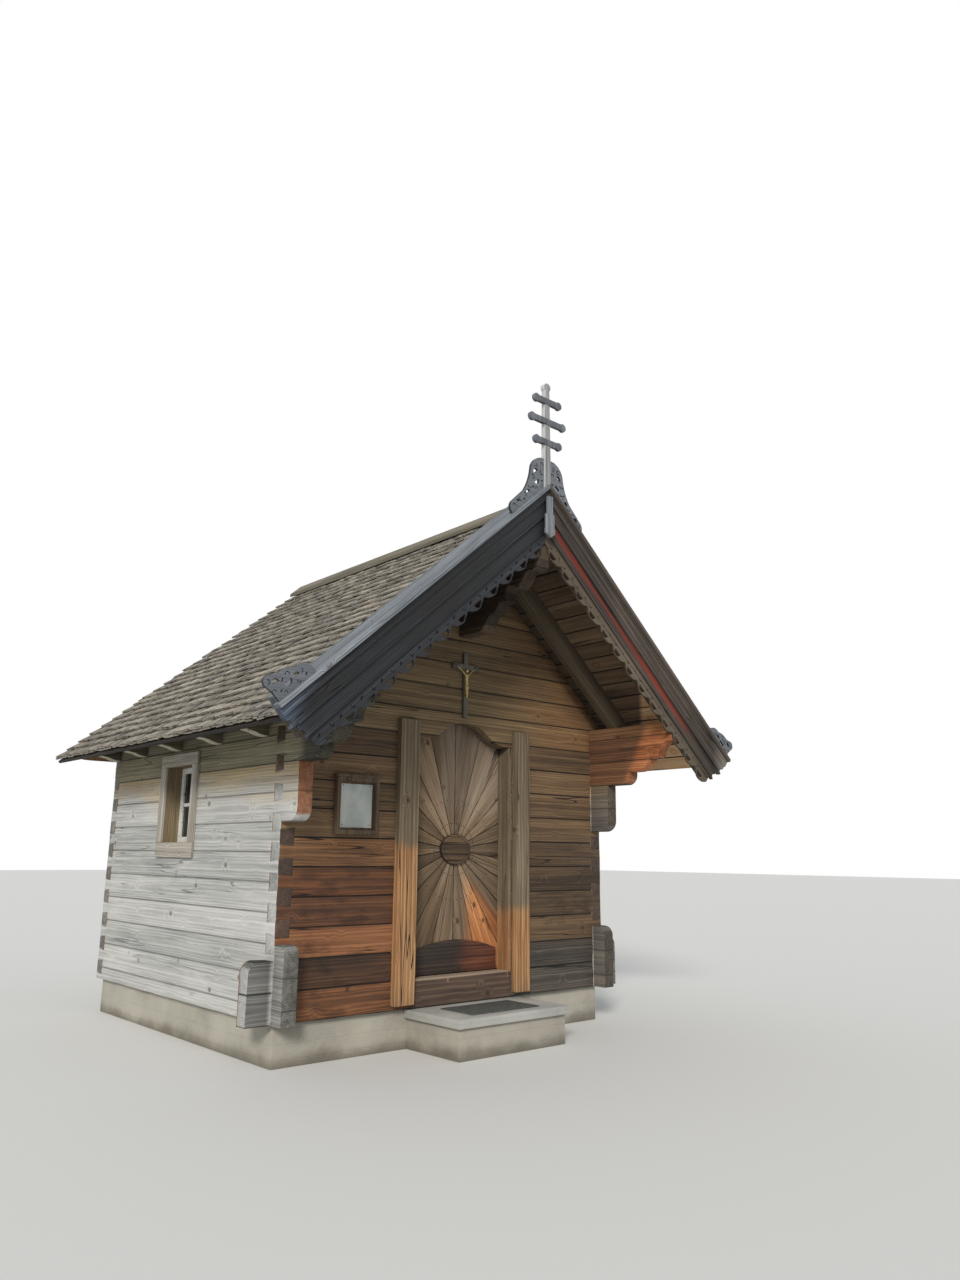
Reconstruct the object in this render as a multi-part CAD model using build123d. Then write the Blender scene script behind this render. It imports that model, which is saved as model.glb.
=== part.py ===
from build123d import *
from math import asin, cos, radians, sin, sqrt, tan
import os

# Small log chapel, in millimetres. Z is up and the front, with the door, faces -Y.
# The origin lies on the ground, midway under the roof. Heights of walls count from the log base.

# Log walls
wall_width = 3000
wall_depth = 2860
wall_thick = 105
course = 186
front_courses = 10
side_courses = 8
joint_depth = 7
joint_half = 5
dovetail_spread = 12

# Plinth and step
plinth_height = 260
plinth_inset = 40
step_offset = 48
step_width = 1020
step_depth = 540
step_slab_thick = 55
step_overhang = 28
step_drop = 6
mat_width = 620
mat_depth = 330
mat_thick = 14
mat_sink = 8

# Floor
floor_level = 160
floor_board = 35
sleeper_width = 80
sleeper_count = 4

# Log ends that run on past the corners
foot_tail_side_logs = 125
foot_tail_front_logs = 165
foot_courses = 2
foot_round = 70
bracket_tail_side_logs = 190
bracket_round = 90

# Roof
roof_pitch = 41.24
front_overhang = 928
back_overhang = 105
eave_overhang = 490
rafter_depth = 120
rafter_width = 100
rafter_overhang = 200
board_thick = 25
shingle_thick = 50
shingle_step = 17
side_shingle_courses = 25
ridge_setback = 368
cap_width = 150
cap_thick = 24

# Bargeboards
barge_thick = 40
barge_depth = 165
barge_reach = 89
fascia_depth = 52
fascia_thick = 12
bead_depth = 14
bead_thick = 9
bite_radius = 24
bite_nib = 9
verge_rise = 63
lower_board_depth = 95
lower_board_thick = 30
lower_board_short = 42
fret_thick = 16
fret_depth = 105
fret_short = 80
fret_lobes = 13
fret_valley = 0.6
fret_crown = 0.62
fret_swell = (0.2, 0.88)
fret_moon = (0.58, 0.62, 0.2)
verge_plank_width = 220
verge_plank_thick = 28
verge_plank_proud = 36

# Ridge beam and its carved bracket
ridge_beam_width = 110
ridge_beam_depth = 265
bracket_top_reach = 843
bracket_nose = ((815, 22), (792, 29), (776, 10), (758, 6), (722, 30), (689, 73))
bracket_middle = ((636, 120), (590, 88), (546, 81), (512, 130), (529, 191))
bracket_low = ((446, 191), (410, 240), (351, 262), (312, 300), (247, 372))

# Carved log ends that carry the front of the roof: distance out from the wall, height from their foot
corbel_foot = 330
corbel_first = ((400, 25), (422, 99))
corbel_second = ((500, 99), (575, 125), (622, 183))
corbel_nose = ((650, 206), (690, 196), (719, 211), (745, 275), (805, 318))

# Brackets under the eaves
eave_bracket_width = 90
eave_bracket_first = 264
eave_bracket_pitch = 659
eave_bracket_count = 4
eave_bracket_reach = 165
eave_bracket_rise = 33
eave_bracket_ledge = 25
eave_bracket_hollow = 99
eave_bracket_sag = 7
eave_bracket_lift = 21
eave_bracket_depth = 130
outer_rafter_gap = 255

# Doorway
door_offset = 30
door_half = 433
door_shoulder = 1826
door_peak = 1980
post_left_width = 165
post_right_width = 145
post_gap = 38
post_proud = 45
post_back = 55
post_foot = 30
post_top = 1950
leaf_thick = 45
leaf_lap = 15
leaf_floor_gap = 6
sill_drop = 3
leaf_face = 125
frame_gap = 5
frame_thick = 30
ray_count = 22
ray_groove = 4
ray_reach = 1200
disc_height = 1053
disc_long = 280
disc_tall = 220
disc_thick = 25
kick_height = 225
kick_end_height = 150
kick_thick = 14
kick_gap = 23
batten_height = 110
batten_thick = 28
batten_low = 420
batten_high = 1560
batten_end = 60
pin_radius = 5
pin_set = 10
knuckle_radius = 9
knuckle_length = 45
pin_play = 0.4
strap_length = 520
strap_height = 34
strap_thick = 5
hinge_plate_width = 87
hinge_plate_rise = 40
hinge_arm_width = 20
hinge_arm_thick = 8
hinge_gap = 3
pin_tail = 16

# Windows
window_centre = 1530
window_width = 460
window_height = 565
window_sill = 1085
casing_side = 85
casing_top = 90
casing_bottom = 110
casing_proud = 22
lining_thick = 22
lining_depth = 150
sash_depth = 112
sash_thick = 35
sash_bar = 42
sash_middle_bar = 28
pane_thick = 4

# Notice board, crucifix
notice_left = -1113
notice_width = 339
notice_bottom = 1140
notice_height = 375
notice_depth = 40
notice_frame = 30
notice_back = 12
notice_cap_proud = 15
notice_cap_thick = 16
sheet_thick = 1.5
sheet_gap = 14
crucifix_bottom = 2016
crucifix_height = 492
crucifix_bar = 40
crucifix_thick = 22
crucifix_arm = 130
crucifix_arm_height = 384
figure_depth = 18
figure_head = 30
figure_head_radius = 12
figure_length = 240
figure_knee = (11, 150)
figure_shoulder = (14, 60)
figure_neck = (6, 42)
figure_chin = 26
figure_hand = 100

# Ridge ornaments
cross_foot_width = 64
cross_top_width = 42
cross_thick = 40
cross_height = 795
cross_head_radius = 33
cross_bar_height = 47
cross_bar_thick = 26
cross_bar_proud = 6
cross_lobe_radius = 31
cross_bars = ((325, 143), (488, 186), (648, 143))
crest_height = 195
crest_thick = 20
crest_swell = (4, 202)
crest_shoulder = (72, 166)
crest_hollow = (150, 114)
crest_tail = ((238, 80), (392, 72), (438, 50), (450, 0))
crest_moons = ((36, 128, 26, 1), (76, 76, 25, -1), (208, 46, 22, 1), (350, 38, 22, 1))
crest_leaves = ((136, 60, 14), (278, 30, 13), (26, 50, 12))
ear_setback = 31
ear_thick = 20
ear_nose = ((0, 0), (-6, 62), (-23, 120))
ear_crown = ((-23, 120), (-5, 149), (27, 154))
ear_hollow = ((27, 154), (55, 139), (87, 128))
ear_back = ((87, 128), (140, 123), (195, 95))
ear_tail = ((195, 95), (250, 85), (292, 0))
ear_moons = ((42, 95, 24, 1), (110, 62, 30, -1), (175, 52, 22, 1))
ear_leaves = ((45, 43, 13), (232, 31, 13))
pendant_strip_width = 48
pendant_strip_top = 95
pendant_top = 230
pendant_bottom = 407
pendant_width = 78
pendant_waist = 335
pendant_notches = ((0, 0), (9, 10), (2, 22), (7, 37))

# Values that follow
half_width = wall_width / 2
inner_half = half_width - wall_thick
base = plinth_height
total_length = front_overhang + wall_depth + back_overhang
front = front_overhang - total_length / 2
back = front + wall_depth
inner_front = front + wall_thick
inner_back = back - wall_thick
eave_half = half_width + eave_overhang
slope = tan(radians(roof_pitch))
sin_pitch = sin(radians(roof_pitch))
cos_pitch = cos(radians(roof_pitch))
side_wall_top = base + course / 2 + side_courses * course
front_wall_top = base + front_courses * course
plate_top = side_wall_top + 2 * course
rafter_apex = plate_top + half_width * slope
board_apex = rafter_apex + rafter_depth / cos_pitch
shingle_apex = board_apex + board_thick / cos_pitch
ridge_top = shingle_apex + shingle_thick / cos_pitch
verge_apex = ridge_top + verge_rise / cos_pitch
eave_z = ridge_top - eave_half * slope
slope_length = eave_half / cos_pitch
verge_length = slope_length + barge_reach / cos_pitch
ridge_end = back - ridge_setback
back_eave = back + back_overhang
barge_face = front - front_overhang + verge_plank_proud
barge_back = barge_face + barge_thick
sill_z = base + course - sill_drop
leaf_bottom = course - sill_drop + leaf_floor_gap
pin_x = door_offset - door_half - leaf_lap
pin_y = front + leaf_face + leaf_thick + pin_set

os.makedirs("parts", exist_ok=True)


def block(x0, x1, y0, y1, z0, z1):
    return Pos((x0 + x1) / 2, (y0 + y1) / 2, (z0 + z1) / 2) * Box(x1 - x0, y1 - y0, z1 - z0)


def along_x(outline, x0, x1):
    face = make_face(Polyline([(x0, y, z) for y, z in outline], close=True))
    return extrude(face, x1 - x0, dir=(1, 0, 0))


def along_y(outline, y0, y1):
    face = make_face(Polyline([(x, y0, z) for x, z in outline], close=True))
    return extrude(face, y1 - y0, dir=(0, 1, 0))


def slope_point(side, along, depth, apex):
    """A point a length down one slope from the apex and a depth square under it."""
    x = along * cos_pitch - depth * sin_pitch
    return side * x, apex - along * sin_pitch - depth * cos_pitch


def slope_face(side, points, y, apex):
    """Closed face in the plane y, from points (along, depth) with arcs where three are given."""
    def place(point):
        x, z = slope_point(side, point[0], point[1], apex)
        return (x, y, z)

    edges = [Line(*map(place, run)) if len(run) == 2 else ThreePointArc(*map(place, run)) for run in points]
    return make_face(edges)


def slope_strip(side, top, bottom, end, y0, y1, apex=verge_apex, start=0):
    """A board that follows one slope, cut plumb at the ridge and square at its foot."""
    outline = [
        slope_point(side, start + top * slope, top, apex),
        slope_point(side, end, top, apex),
        slope_point(side, end, bottom, apex),
        slope_point(side, start + bottom * slope, bottom, apex),
    ]
    return along_y(outline, y0, y1)


def log_outline(outer, inner, bottom, top_outer, top_inner, joints):
    """Section of a log wall, with a V at each joint on both faces."""
    inward = 1 if inner > outer else -1
    outline = [(outer, bottom)]
    for z in joints:
        outline += [(outer, z - joint_half), (outer + inward * joint_depth, z), (outer, z + joint_half)]
    outline += [(outer, top_outer), (inner, top_inner)]
    for z in reversed(joints):
        outline += [(inner, z + joint_half), (inner - inward * joint_depth, z), (inner, z - joint_half)]
    outline.append((inner, bottom))
    return outline


def front_joints(bottom, top):
    return [base + k * course for k in range(1, 40) if bottom < base + k * course < top - joint_half]


def side_joints(bottom, top):
    heights = [base + course / 2 + k * course for k in range(40)]
    return [z for z in heights if bottom + joint_half < z < top - joint_half]


def dovetail(side_x, side_y, front_log):
    """End of one log in a corner, flared so that it can't be drawn out, about z = 0."""
    y_out = front if side_y < 0 else back
    x_out = side_x * half_width
    column = block(
        min(x_out, x_out - side_x * wall_thick), max(x_out, x_out - side_x * wall_thick),
        min(y_out, y_out - side_y * wall_thick), max(y_out, y_out - side_y * wall_thick),
        -course / 2, course / 2,
    )
    tilt = (1 if front_log else -1) * dovetail_spread / wall_thick
    upper = Plane(origin=(x_out, y_out, course / 4), z_dir=(-tilt * side_x, tilt * side_y, 1))
    lower = Plane(origin=(x_out, y_out, -course / 4), z_dir=(tilt * side_x, -tilt * side_y, 1))
    return split(split(column, upper, keep=Keep.BOTTOM), lower, keep=Keep.TOP)


def front_log_ends(side_x, side_y):
    end = dovetail(side_x, side_y, True)
    return [Pos(0, 0, base + (k + 0.5) * course) * end for k in range(front_courses)]


def side_log_ends(side_x, side_y, first, last):
    end = dovetail(side_x, side_y, False)
    ends = [Pos(0, 0, base + k * course) * end for k in range(max(first, 1), last + 1)]
    if first == 0:
        ends.append(split(Pos(0, 0, base) * end, Plane.XY.offset(base), keep=Keep.TOP))
    return ends


def side_tail(side, reach, bottom, top, round_size, round_top):
    """Side wall logs that run forward past the front wall."""
    tail = block(min(side * inner_half, side * half_width), max(side * inner_half, side * half_width),
                 front - reach, front, bottom, top)
    edge_z = top if round_top else bottom
    edges = tail.edges().filter_by(Axis.X).sort_by(Axis.Y)[:2]
    return fillet([e for e in edges if abs(e.center().Z - edge_z) < 1], round_size)


def foot_tail(side, reach, top):
    """Lowest front wall logs, which run sideways past the side wall."""
    x_in = side * half_width
    x_out = side * (half_width + reach)
    tail = block(min(x_in, x_out), max(x_in, x_out), front, inner_front, base, top)
    edges = [e for e in tail.edges().filter_by(Axis.Y) if abs(e.center().X - x_out) < 1]
    return fillet([e for e in edges if abs(e.center().Z - top) < 1], foot_round)


def arch_curve(half, shoulder, peak):
    """Half of the ogee door head, from the shoulder at -half to the peak at 0, as two arcs."""
    run = half / 2
    rise = (peak - shoulder) / 2
    radius = (run**2 + rise**2) / (2 * rise)
    bend = asin(run / radius) / 2
    dx = radius * sin(bend)
    dz = radius * (1 - cos(bend))
    return [
        ((-half, shoulder), (-half + dx, shoulder + dz), (-run, shoulder + rise)),
        ((-run, shoulder + rise), (-dx, peak - dz), (0, peak)),
    ]


def arched_panel(half, bottom, shoulder, peak, y0, y1):
    """A panel with the ogee head, centred on the doorway."""
    def place(p, mirror=1):
        return (door_offset + mirror * p[0], y0, base + p[1])

    edges = []
    for a, b, c in arch_curve(half, shoulder, peak):
        edges.append(ThreePointArc(place(a), place(b), place(c)))
        edges.append(ThreePointArc(place(a, -1), place(b, -1), place(c, -1)))
    low_left = (door_offset - half, y0, base + bottom)
    low_right = (door_offset + half, y0, base + bottom)
    edges.append(Line(low_left, place((-half, shoulder))))
    edges.append(Line(low_right, place((-half, shoulder), -1)))
    edges.append(Line(low_left, low_right))
    return extrude(make_face(edges), y1 - y0, dir=(0, 1, 0))


def plinth():
    return block(-half_width + plinth_inset, half_width - plinth_inset,
                 front + plinth_inset, back - plinth_inset, 0, base)


def step_block():
    return block(step_offset - step_width / 2 + step_overhang, step_offset + step_width / 2 - step_overhang,
                 front - step_depth + step_overhang, front + plinth_inset,
                 0, base - step_drop - step_slab_thick)


def step_slab():
    top = base - step_drop
    slab = block(step_offset - step_width / 2, step_offset + step_width / 2,
                 front - step_depth, front + plinth_inset, top - step_slab_thick, top)
    return slab - mat_solid(mat_sink)


def mat_solid(sink):
    middle = front - step_depth / 2
    top = base - step_drop
    return block(step_offset - mat_width / 2, step_offset + mat_width / 2,
                 middle - mat_depth / 2, middle + mat_depth / 2, top - sink, top - sink + mat_thick)


def door_mat():
    return mat_solid(mat_sink)


def floor_boards():
    top = base + floor_level
    return block(-inner_half, inner_half, inner_front, inner_back, top - floor_board, top)


def floor_sleepers():
    top = base + floor_level - floor_board
    pitch = (2 * inner_half - sleeper_width) / (sleeper_count - 1)
    starts = [-inner_half + k * pitch for k in range(sleeper_count)]
    return [block(x, x + sleeper_width, inner_front, inner_back, base, top) for x in starts]


def front_wall(side):
    jamb = door_offset + side * door_half / 2
    outline = log_outline(front, inner_front, base, front_wall_top, front_wall_top,
                          front_joints(base, front_wall_top))
    wall = along_x(outline, min(jamb, side * inner_half), max(jamb, side * inner_half))
    wall += front_log_ends(side, -1)
    foot_top = base + foot_courses * course
    wall += foot_tail(side, foot_tail_front_logs, foot_top)
    return wall - doorway() - post(side)


def doorway():
    """What is sawn out of the logs for the door: the opening and the seat of its frame."""
    half = door_half + frame_thick
    slot = block(door_offset - half, door_offset + half, front - 1, inner_front + 1, base - 1, base + door_shoulder)
    slot += arched_panel(door_half, 0, door_shoulder, door_peak, front - 1, inner_front + 1)
    return slot + arched_panel(half, 0, door_shoulder + frame_thick, door_peak + frame_thick,
                               front + post_back, inner_front + 1)


def gable_outline(z_low, y0, y1):
    plate_inner = plate_top + wall_thick * slope
    outline = [(-inner_half, z_low), (-inner_half, plate_inner), (-half_width, plate_top)]
    outline.append((-half_width, board_apex - half_width * slope))
    outline.append((0, board_apex))
    outline += [(-x, z) for x, z in reversed(outline[:-1])]
    return along_y(outline, y0, y1)


def front_gable():
    gable = gable_outline(front_wall_top, front, inner_front)
    top = board_apex
    section = log_outline(front, inner_front, front_wall_top - 1, top + 1, top + 1,
                          front_joints(front_wall_top + 1, top))
    gable = gable & along_x(section, -half_width, half_width)
    gable -= doorway()
    gable -= post(-1)
    gable -= post(1)
    return gable - ridge_beam()


def side_wall(side):
    outline = log_outline(side * half_width, side * inner_half, base, side_wall_top, side_wall_top,
                          side_joints(base, side_wall_top))
    wall = along_y(outline, inner_front, inner_back)
    wall += side_log_ends(side, -1, 0, side_courses)
    wall += side_log_ends(side, 1, 0, side_courses)
    foot_top = base + course / 2 + foot_courses * course
    wall += side_tail(side, foot_tail_side_logs, base, foot_top, foot_round, True)
    low = side_wall_top - 2 * course
    wall += side_tail(side, bracket_tail_side_logs, low, side_wall_top, bracket_round, False)
    return wall - window_hole()


def window_hole():
    y = front + window_centre
    half = window_width / 2 + lining_thick
    low = base + window_sill
    return block(-half_width - 1, half_width + 1, y - half, y + half,
                 low - lining_thick, low + window_height + lining_thick)


def plate(side):
    outline = log_outline(side * half_width, side * inner_half, side_wall_top, plate_top,
                          plate_top + wall_thick * slope, side_joints(side_wall_top, plate_top))
    log = along_y(outline, inner_front, inner_back)
    log += side_log_ends(side, -1, side_courses + 1, side_courses + 2)
    log += side_log_ends(side, 1, side_courses + 1, side_courses + 2)
    upper = log_outline(side * half_width, side * inner_half, plate_top - course / 2, plate_top,
                        plate_top + wall_thick * slope, [])
    log += along_y(upper, front, inner_front)
    log += along_y(upper, inner_back, back)
    carved = corbel(side)
    under = Plane(origin=(side * half_width, front, plate_top), z_dir=(side * slope, 0, 1))
    log += split(carved, under, keep=Keep.BOTTOM)
    log -= eave_brackets(side)
    log -= window_hole()
    return split(log, hip_plane(board_thick + shingle_thick), keep=Keep.BOTTOM)


def corbel(side):
    """Carved log ends that carry the front of the roof, in steps of hollow and round."""
    x0 = side * inner_half
    tip = front_overhang - verge_plank_proud - barge_thick
    top = plate_top - side_wall_top + wall_thick * slope + 1

    def p(point):
        return (x0, front - point[0], side_wall_top + point[1])

    foot = (corbel_foot, 0)
    nose_end = corbel_nose[4]
    edges = [
        Line(p((0, 0)), p(foot)),
        ThreePointArc(p(foot), p(corbel_first[0]), p(corbel_first[1])),
        Line(p(corbel_first[1]), p(corbel_second[0])),
        ThreePointArc(p(corbel_second[0]), p(corbel_second[1]), p(corbel_second[2])),
        Line(p(corbel_second[2]), p(corbel_nose[0])),
        ThreePointArc(p(corbel_nose[0]), p(corbel_nose[1]), p(corbel_nose[2])),
        ThreePointArc(p(corbel_nose[2]), p(corbel_nose[3]), p(nose_end)),
        Line(p(nose_end), p((tip, nose_end[1]))),
        Line(p((tip, nose_end[1])), p((tip, top))),
        Line(p((tip, top)), p((0, top))),
        Line(p((0, top)), p((0, 0))),
    ]
    return extrude(make_face(edges), wall_thick, dir=(side, 0, 0))


def hip_plane(depth):
    """The plane a depth square under the surface of the back slope, facing up and back."""
    run = back_eave - ridge_end
    fall = ridge_top - eave_z
    length = sqrt(run**2 + fall**2)
    normal = (0, fall / length, run / length)
    origin = (0, ridge_end - normal[1] * depth, ridge_top - normal[2] * depth)
    return Plane(origin=origin, z_dir=normal)


def back_wall():
    outline = log_outline(back, inner_back, base, front_wall_top, front_wall_top,
                          front_joints(base, front_wall_top))
    wall = along_x(outline, -inner_half, inner_half)
    for side in (-1, 1):
        wall += front_log_ends(side, 1)
    return wall


def eave_bracket(side, y, x_in, width):
    """Carved end that carries a rafter's foot: flat at the wall, then hollow and up to its tip."""
    low = side_wall_top + course
    ledge = half_width + eave_bracket_ledge
    middle = half_width + eave_bracket_hollow
    reach = half_width + eave_bracket_reach

    def p(x, up):
        return (side * x, y - width / 2, low + up)

    edges = [
        Line(p(x_in, 0), p(ledge, 0)),
        ThreePointArc(p(ledge, 0), p((ledge + middle) / 2, eave_bracket_sag), p(middle, eave_bracket_lift)),
        Line(p(middle, eave_bracket_lift), p(reach, eave_bracket_rise)),
        Line(p(reach, eave_bracket_rise), p(reach, eave_bracket_depth)),
        Line(p(reach, eave_bracket_depth), p(x_in, eave_bracket_depth)),
        Line(p(x_in, eave_bracket_depth), p(x_in, 0)),
    ]
    bar = extrude(make_face(edges), width, dir=(0, 1, 0))
    under = Plane(origin=(side * half_width, y, plate_top), z_dir=(side * slope, 0, 1))
    bar = split(bar, under, keep=Keep.BOTTOM)
    return split(bar, hip_plane(board_thick + shingle_thick), keep=Keep.BOTTOM)


def eave_bracket_places():
    return [front + eave_bracket_first + k * eave_bracket_pitch for k in range(eave_bracket_count)]


def eave_brackets(side):
    """Brackets through the top log, and the back wall's log end, which starts at the wall's face."""
    brackets = [eave_bracket(side, y, inner_half, eave_bracket_width) for y in eave_bracket_places()]
    brackets.append(eave_bracket(side, back - wall_thick / 2, half_width, wall_thick))
    return brackets


def ridge_beam():
    half = ridge_beam_width / 2
    low = rafter_apex - ridge_beam_depth
    outline = [(-half, low), (-half, rafter_apex - half * slope), (0, rafter_apex),
               (half, rafter_apex - half * slope), (half, low)]
    beam = along_y(outline, barge_back, ridge_end)
    return split(beam, hip_plane(board_thick + shingle_thick), keep=Keep.BOTTOM)


def ridge_bracket():
    """Carved log ends that step out of the gable under the ridge beam."""
    top = rafter_apex - ridge_beam_depth

    def p(point):
        return (-ridge_beam_width / 2, front - point[0], top - point[1])

    nose = [p(q) for q in bracket_nose]
    middle = [p(q) for q in bracket_middle]
    low = [p(q) for q in bracket_low]
    start = p((bracket_top_reach, 0))
    foot = p((0, bracket_low[-1][1]))
    edges = [
        Line(p((0, 0)), start),
        ThreePointArc(start, nose[0], nose[1]),
        ThreePointArc(nose[1], nose[2], nose[3]),
        ThreePointArc(nose[3], nose[4], nose[5]),
        Line(nose[5], middle[0]),
        ThreePointArc(middle[0], middle[1], middle[2]),
        ThreePointArc(middle[2], middle[3], middle[4]),
        Line(middle[4], low[0]),
        ThreePointArc(low[0], low[1], low[2]),
        ThreePointArc(low[2], low[3], low[4]),
        Line(low[4], foot),
        Line(foot, p((0, 0))),
    ]
    return extrude(make_face(edges), ridge_beam_width, dir=(1, 0, 0))


def rafter_places():
    places = [barge_back + rafter_width / 2, front - outer_rafter_gap]
    return places + eave_bracket_places()


def rafters(side):
    depth = board_thick + shingle_thick
    solids = []
    for y in rafter_places():
        outermost = y < front - front_overhang / 2
        end = slope_length if outermost else (half_width + rafter_overhang) / cos_pitch
        solids.append(slope_strip(side, depth, depth + rafter_depth, end, y - rafter_width / 2,
                                  y + rafter_width / 2, apex=ridge_top))
    return solids


def hip_cut(side):
    """The upright plane over one hip, facing back."""
    run = (back_eave - ridge_end, side * -eave_half)
    return Plane(origin=(0, ridge_end, 0), z_dir=(-side * run[0], eave_half, 0))


def roof_boards(side):
    slab = slope_strip(side, shingle_thick, shingle_thick + board_thick, slope_length, barge_back,
                       back_eave, apex=ridge_top)
    return split(slab, hip_cut(side), keep=Keep.BOTTOM)


def stepped_outline(length, count, lead):
    """Courses of shingles: each swells to its butt and drops to the next, as (along, depth)."""
    exposure = length / count
    outline = [(lead * shingle_step, shingle_step)]
    for k in range(1, count):
        outline += [(k * exposure, 0), (k * exposure, shingle_step)]
    outline += [(length, 0), (length, shingle_thick), (lead * shingle_thick, shingle_thick)]
    return outline


def shingles(side):
    outline = [slope_point(side, u, v, ridge_top)
               for u, v in stepped_outline(slope_length, side_shingle_courses, slope)]
    slab = along_y(outline, barge_back, back_eave)
    return split(slab, hip_cut(side), keep=Keep.BOTTOM)


def back_slab(outline):
    run = back_eave - ridge_end
    fall = ridge_top - eave_z
    length = sqrt(run**2 + fall**2)
    points = [(ridge_end + (u * run - v * fall) / length, ridge_top - (u * fall + v * run) / length)
              for u, v in outline]
    slab = along_x(points, -eave_half, eave_half)
    for side in (-1, 1):
        slab = split(slab, hip_cut(side), keep=Keep.TOP)
    return slab


def back_length():
    return sqrt((back_eave - ridge_end) ** 2 + (ridge_top - eave_z) ** 2)


def shingles_back():
    count = round(back_length() / (slope_length / side_shingle_courses))
    return back_slab(stepped_outline(back_length(), count, 0))


def roof_boards_back():
    length = back_length()
    low = shingle_thick + board_thick
    return back_slab([(0, shingle_thick), (length, shingle_thick), (length, low), (0, low)])


def ridge_cap():
    half = cap_width * cos_pitch
    lift = cap_thick / cos_pitch
    outline = [(0, ridge_top), (half, ridge_top - half * slope), (half, ridge_top - half * slope + lift),
               (0, ridge_top + lift), (-half, ridge_top - half * slope + lift),
               (-half, ridge_top - half * slope)]
    return along_y(outline, barge_back + verge_plank_width, ridge_end)


def bitten_board(side, top, bottom, end, y0, y1):
    """A board along the slope whose foot has a round bite above a small nib."""
    low_lip = bottom - bite_nib
    middle = low_lip - bite_radius
    high_lip = middle - bite_radius
    runs = [
        ((top * slope, top), (end, top)),
        ((end, top), (end, high_lip)),
        ((end, high_lip), (end - bite_radius, middle), (end, low_lip)),
        ((end, low_lip), (end, bottom)),
        ((end, bottom), (bottom * slope, bottom)),
        ((bottom * slope, bottom), (top * slope, top)),
    ]
    return extrude(slope_face(side, runs, y0, verge_apex), y1 - y0, dir=(0, 1, 0))


def bargeboard(side):
    """Board on the verge, with a fascia strip along its top and a bead along its foot."""
    board = bitten_board(side, verge_plank_thick, barge_depth, verge_length, barge_face, barge_back)
    board += slope_strip(side, verge_plank_thick, verge_plank_thick + fascia_depth, verge_length,
                         barge_face - fascia_thick, barge_face)
    return board + slope_strip(side, barge_depth - bead_depth, barge_depth, verge_length - 2 * bite_radius,
                               barge_face - bead_thick, barge_face)


def lower_board(side):
    return bitten_board(side, barge_depth, barge_depth + lower_board_depth,
                        verge_length - lower_board_short, barge_back - lower_board_thick, barge_back)


def fretwork(side):
    """Lace board: hooked lobes along its lower edge, each pierced by a half-moon."""
    top = barge_depth + lower_board_depth
    end = verge_length - fret_short
    valley = top + fret_depth * fret_valley
    tip = top + fret_depth
    lobe = (end - tip * slope) / fret_lobes
    runs = [((top * slope, top), (end, top)), ((end, top), (end, valley))]
    for k in range(fret_lobes):
        foot = end - k * lobe
        head = foot - lobe
        crown = foot - lobe * fret_crown
        swell = (foot - lobe * fret_swell[0], top + fret_depth * fret_swell[1])
        runs.append(((foot, valley), swell, (crown, tip)))
        runs.append(((crown, tip), (head, valley)))
    start = end - fret_lobes * lobe
    runs.append(((start, valley), (valley * slope, valley)))
    runs.append(((valley * slope, valley), (top * slope, top)))
    y0 = barge_back - fret_thick
    board = extrude(slope_face(side, runs, y0, verge_apex), fret_thick, dir=(0, 1, 0))
    holes = []
    for k in range(fret_lobes):
        along = end - (k + fret_moon[0]) * lobe
        depth = top + fret_depth * fret_moon[1]
        holes.append(half_moon(side, along, depth, lobe * fret_moon[2], -1, y0, fret_thick))
    return board - holes


def half_moon(side, along, depth, size, bulge, y, thick):
    """Cutter for a half-moon piercing, its round side up or down."""
    one = (along - size, depth)
    two = (along + size, depth)
    runs = [(one, (along, depth - bulge * size), two), (two, one)]
    return extrude(slope_face(side, runs, y - 1, verge_apex), thick + 2, dir=(0, 1, 0))


def leaf_hole(side, along, depth, size, y, thick):
    """Cutter for a small three-cornered piercing."""
    runs = [
        ((along - size, depth), (along + size, depth - size / 2)),
        ((along + size, depth - size / 2), (along + size / 2, depth + size)),
        ((along + size / 2, depth + size), (along - size, depth)),
    ]
    return extrude(slope_face(side, runs, y - 1, verge_apex), thick + 2, dir=(0, 1, 0))


def verge_plank(side):
    """Plank that covers the edge of the shingles, and the fillet under it that lies on them."""
    plank = slope_strip(side, 0, verge_plank_thick, verge_length, barge_face - verge_plank_proud, barge_back)
    plank += slope_strip(side, 0, verge_plank_thick, slope_length, barge_back, barge_back + verge_plank_width)
    return plank + slope_strip(side, verge_plank_thick, verge_rise, slope_length, barge_back,
                               barge_back + verge_plank_width)


def pierced(board, side, start, way, moons, leaves, thick):
    """A scroll board with its piercings, placed from a point on the verge."""
    for along, up, size, bulge in moons:
        board -= half_moon(side, start + way * along, -up, size, bulge, barge_face, thick)
    for along, up, size in leaves:
        board -= leaf_hole(side, start + way * along, -up, size, barge_face, thick)
    return board


def ear(side):
    """Pierced scroll board that stands on the verge at its foot."""
    end = verge_length - ear_setback
    curves = [ear_nose, ear_crown, ear_hollow, ear_back, ear_tail]
    runs = [tuple((end - along, -up) for along, up in curve) for curve in curves]
    runs.append((runs[-1][-1], runs[0][0]))
    board = extrude(slope_face(side, runs, barge_face, verge_apex), ear_thick, dir=(0, 1, 0))
    return pierced(board, side, end, -1, ear_moons, ear_leaves, ear_thick)


def ears():
    return [ear(-1), ear(1)]


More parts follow.
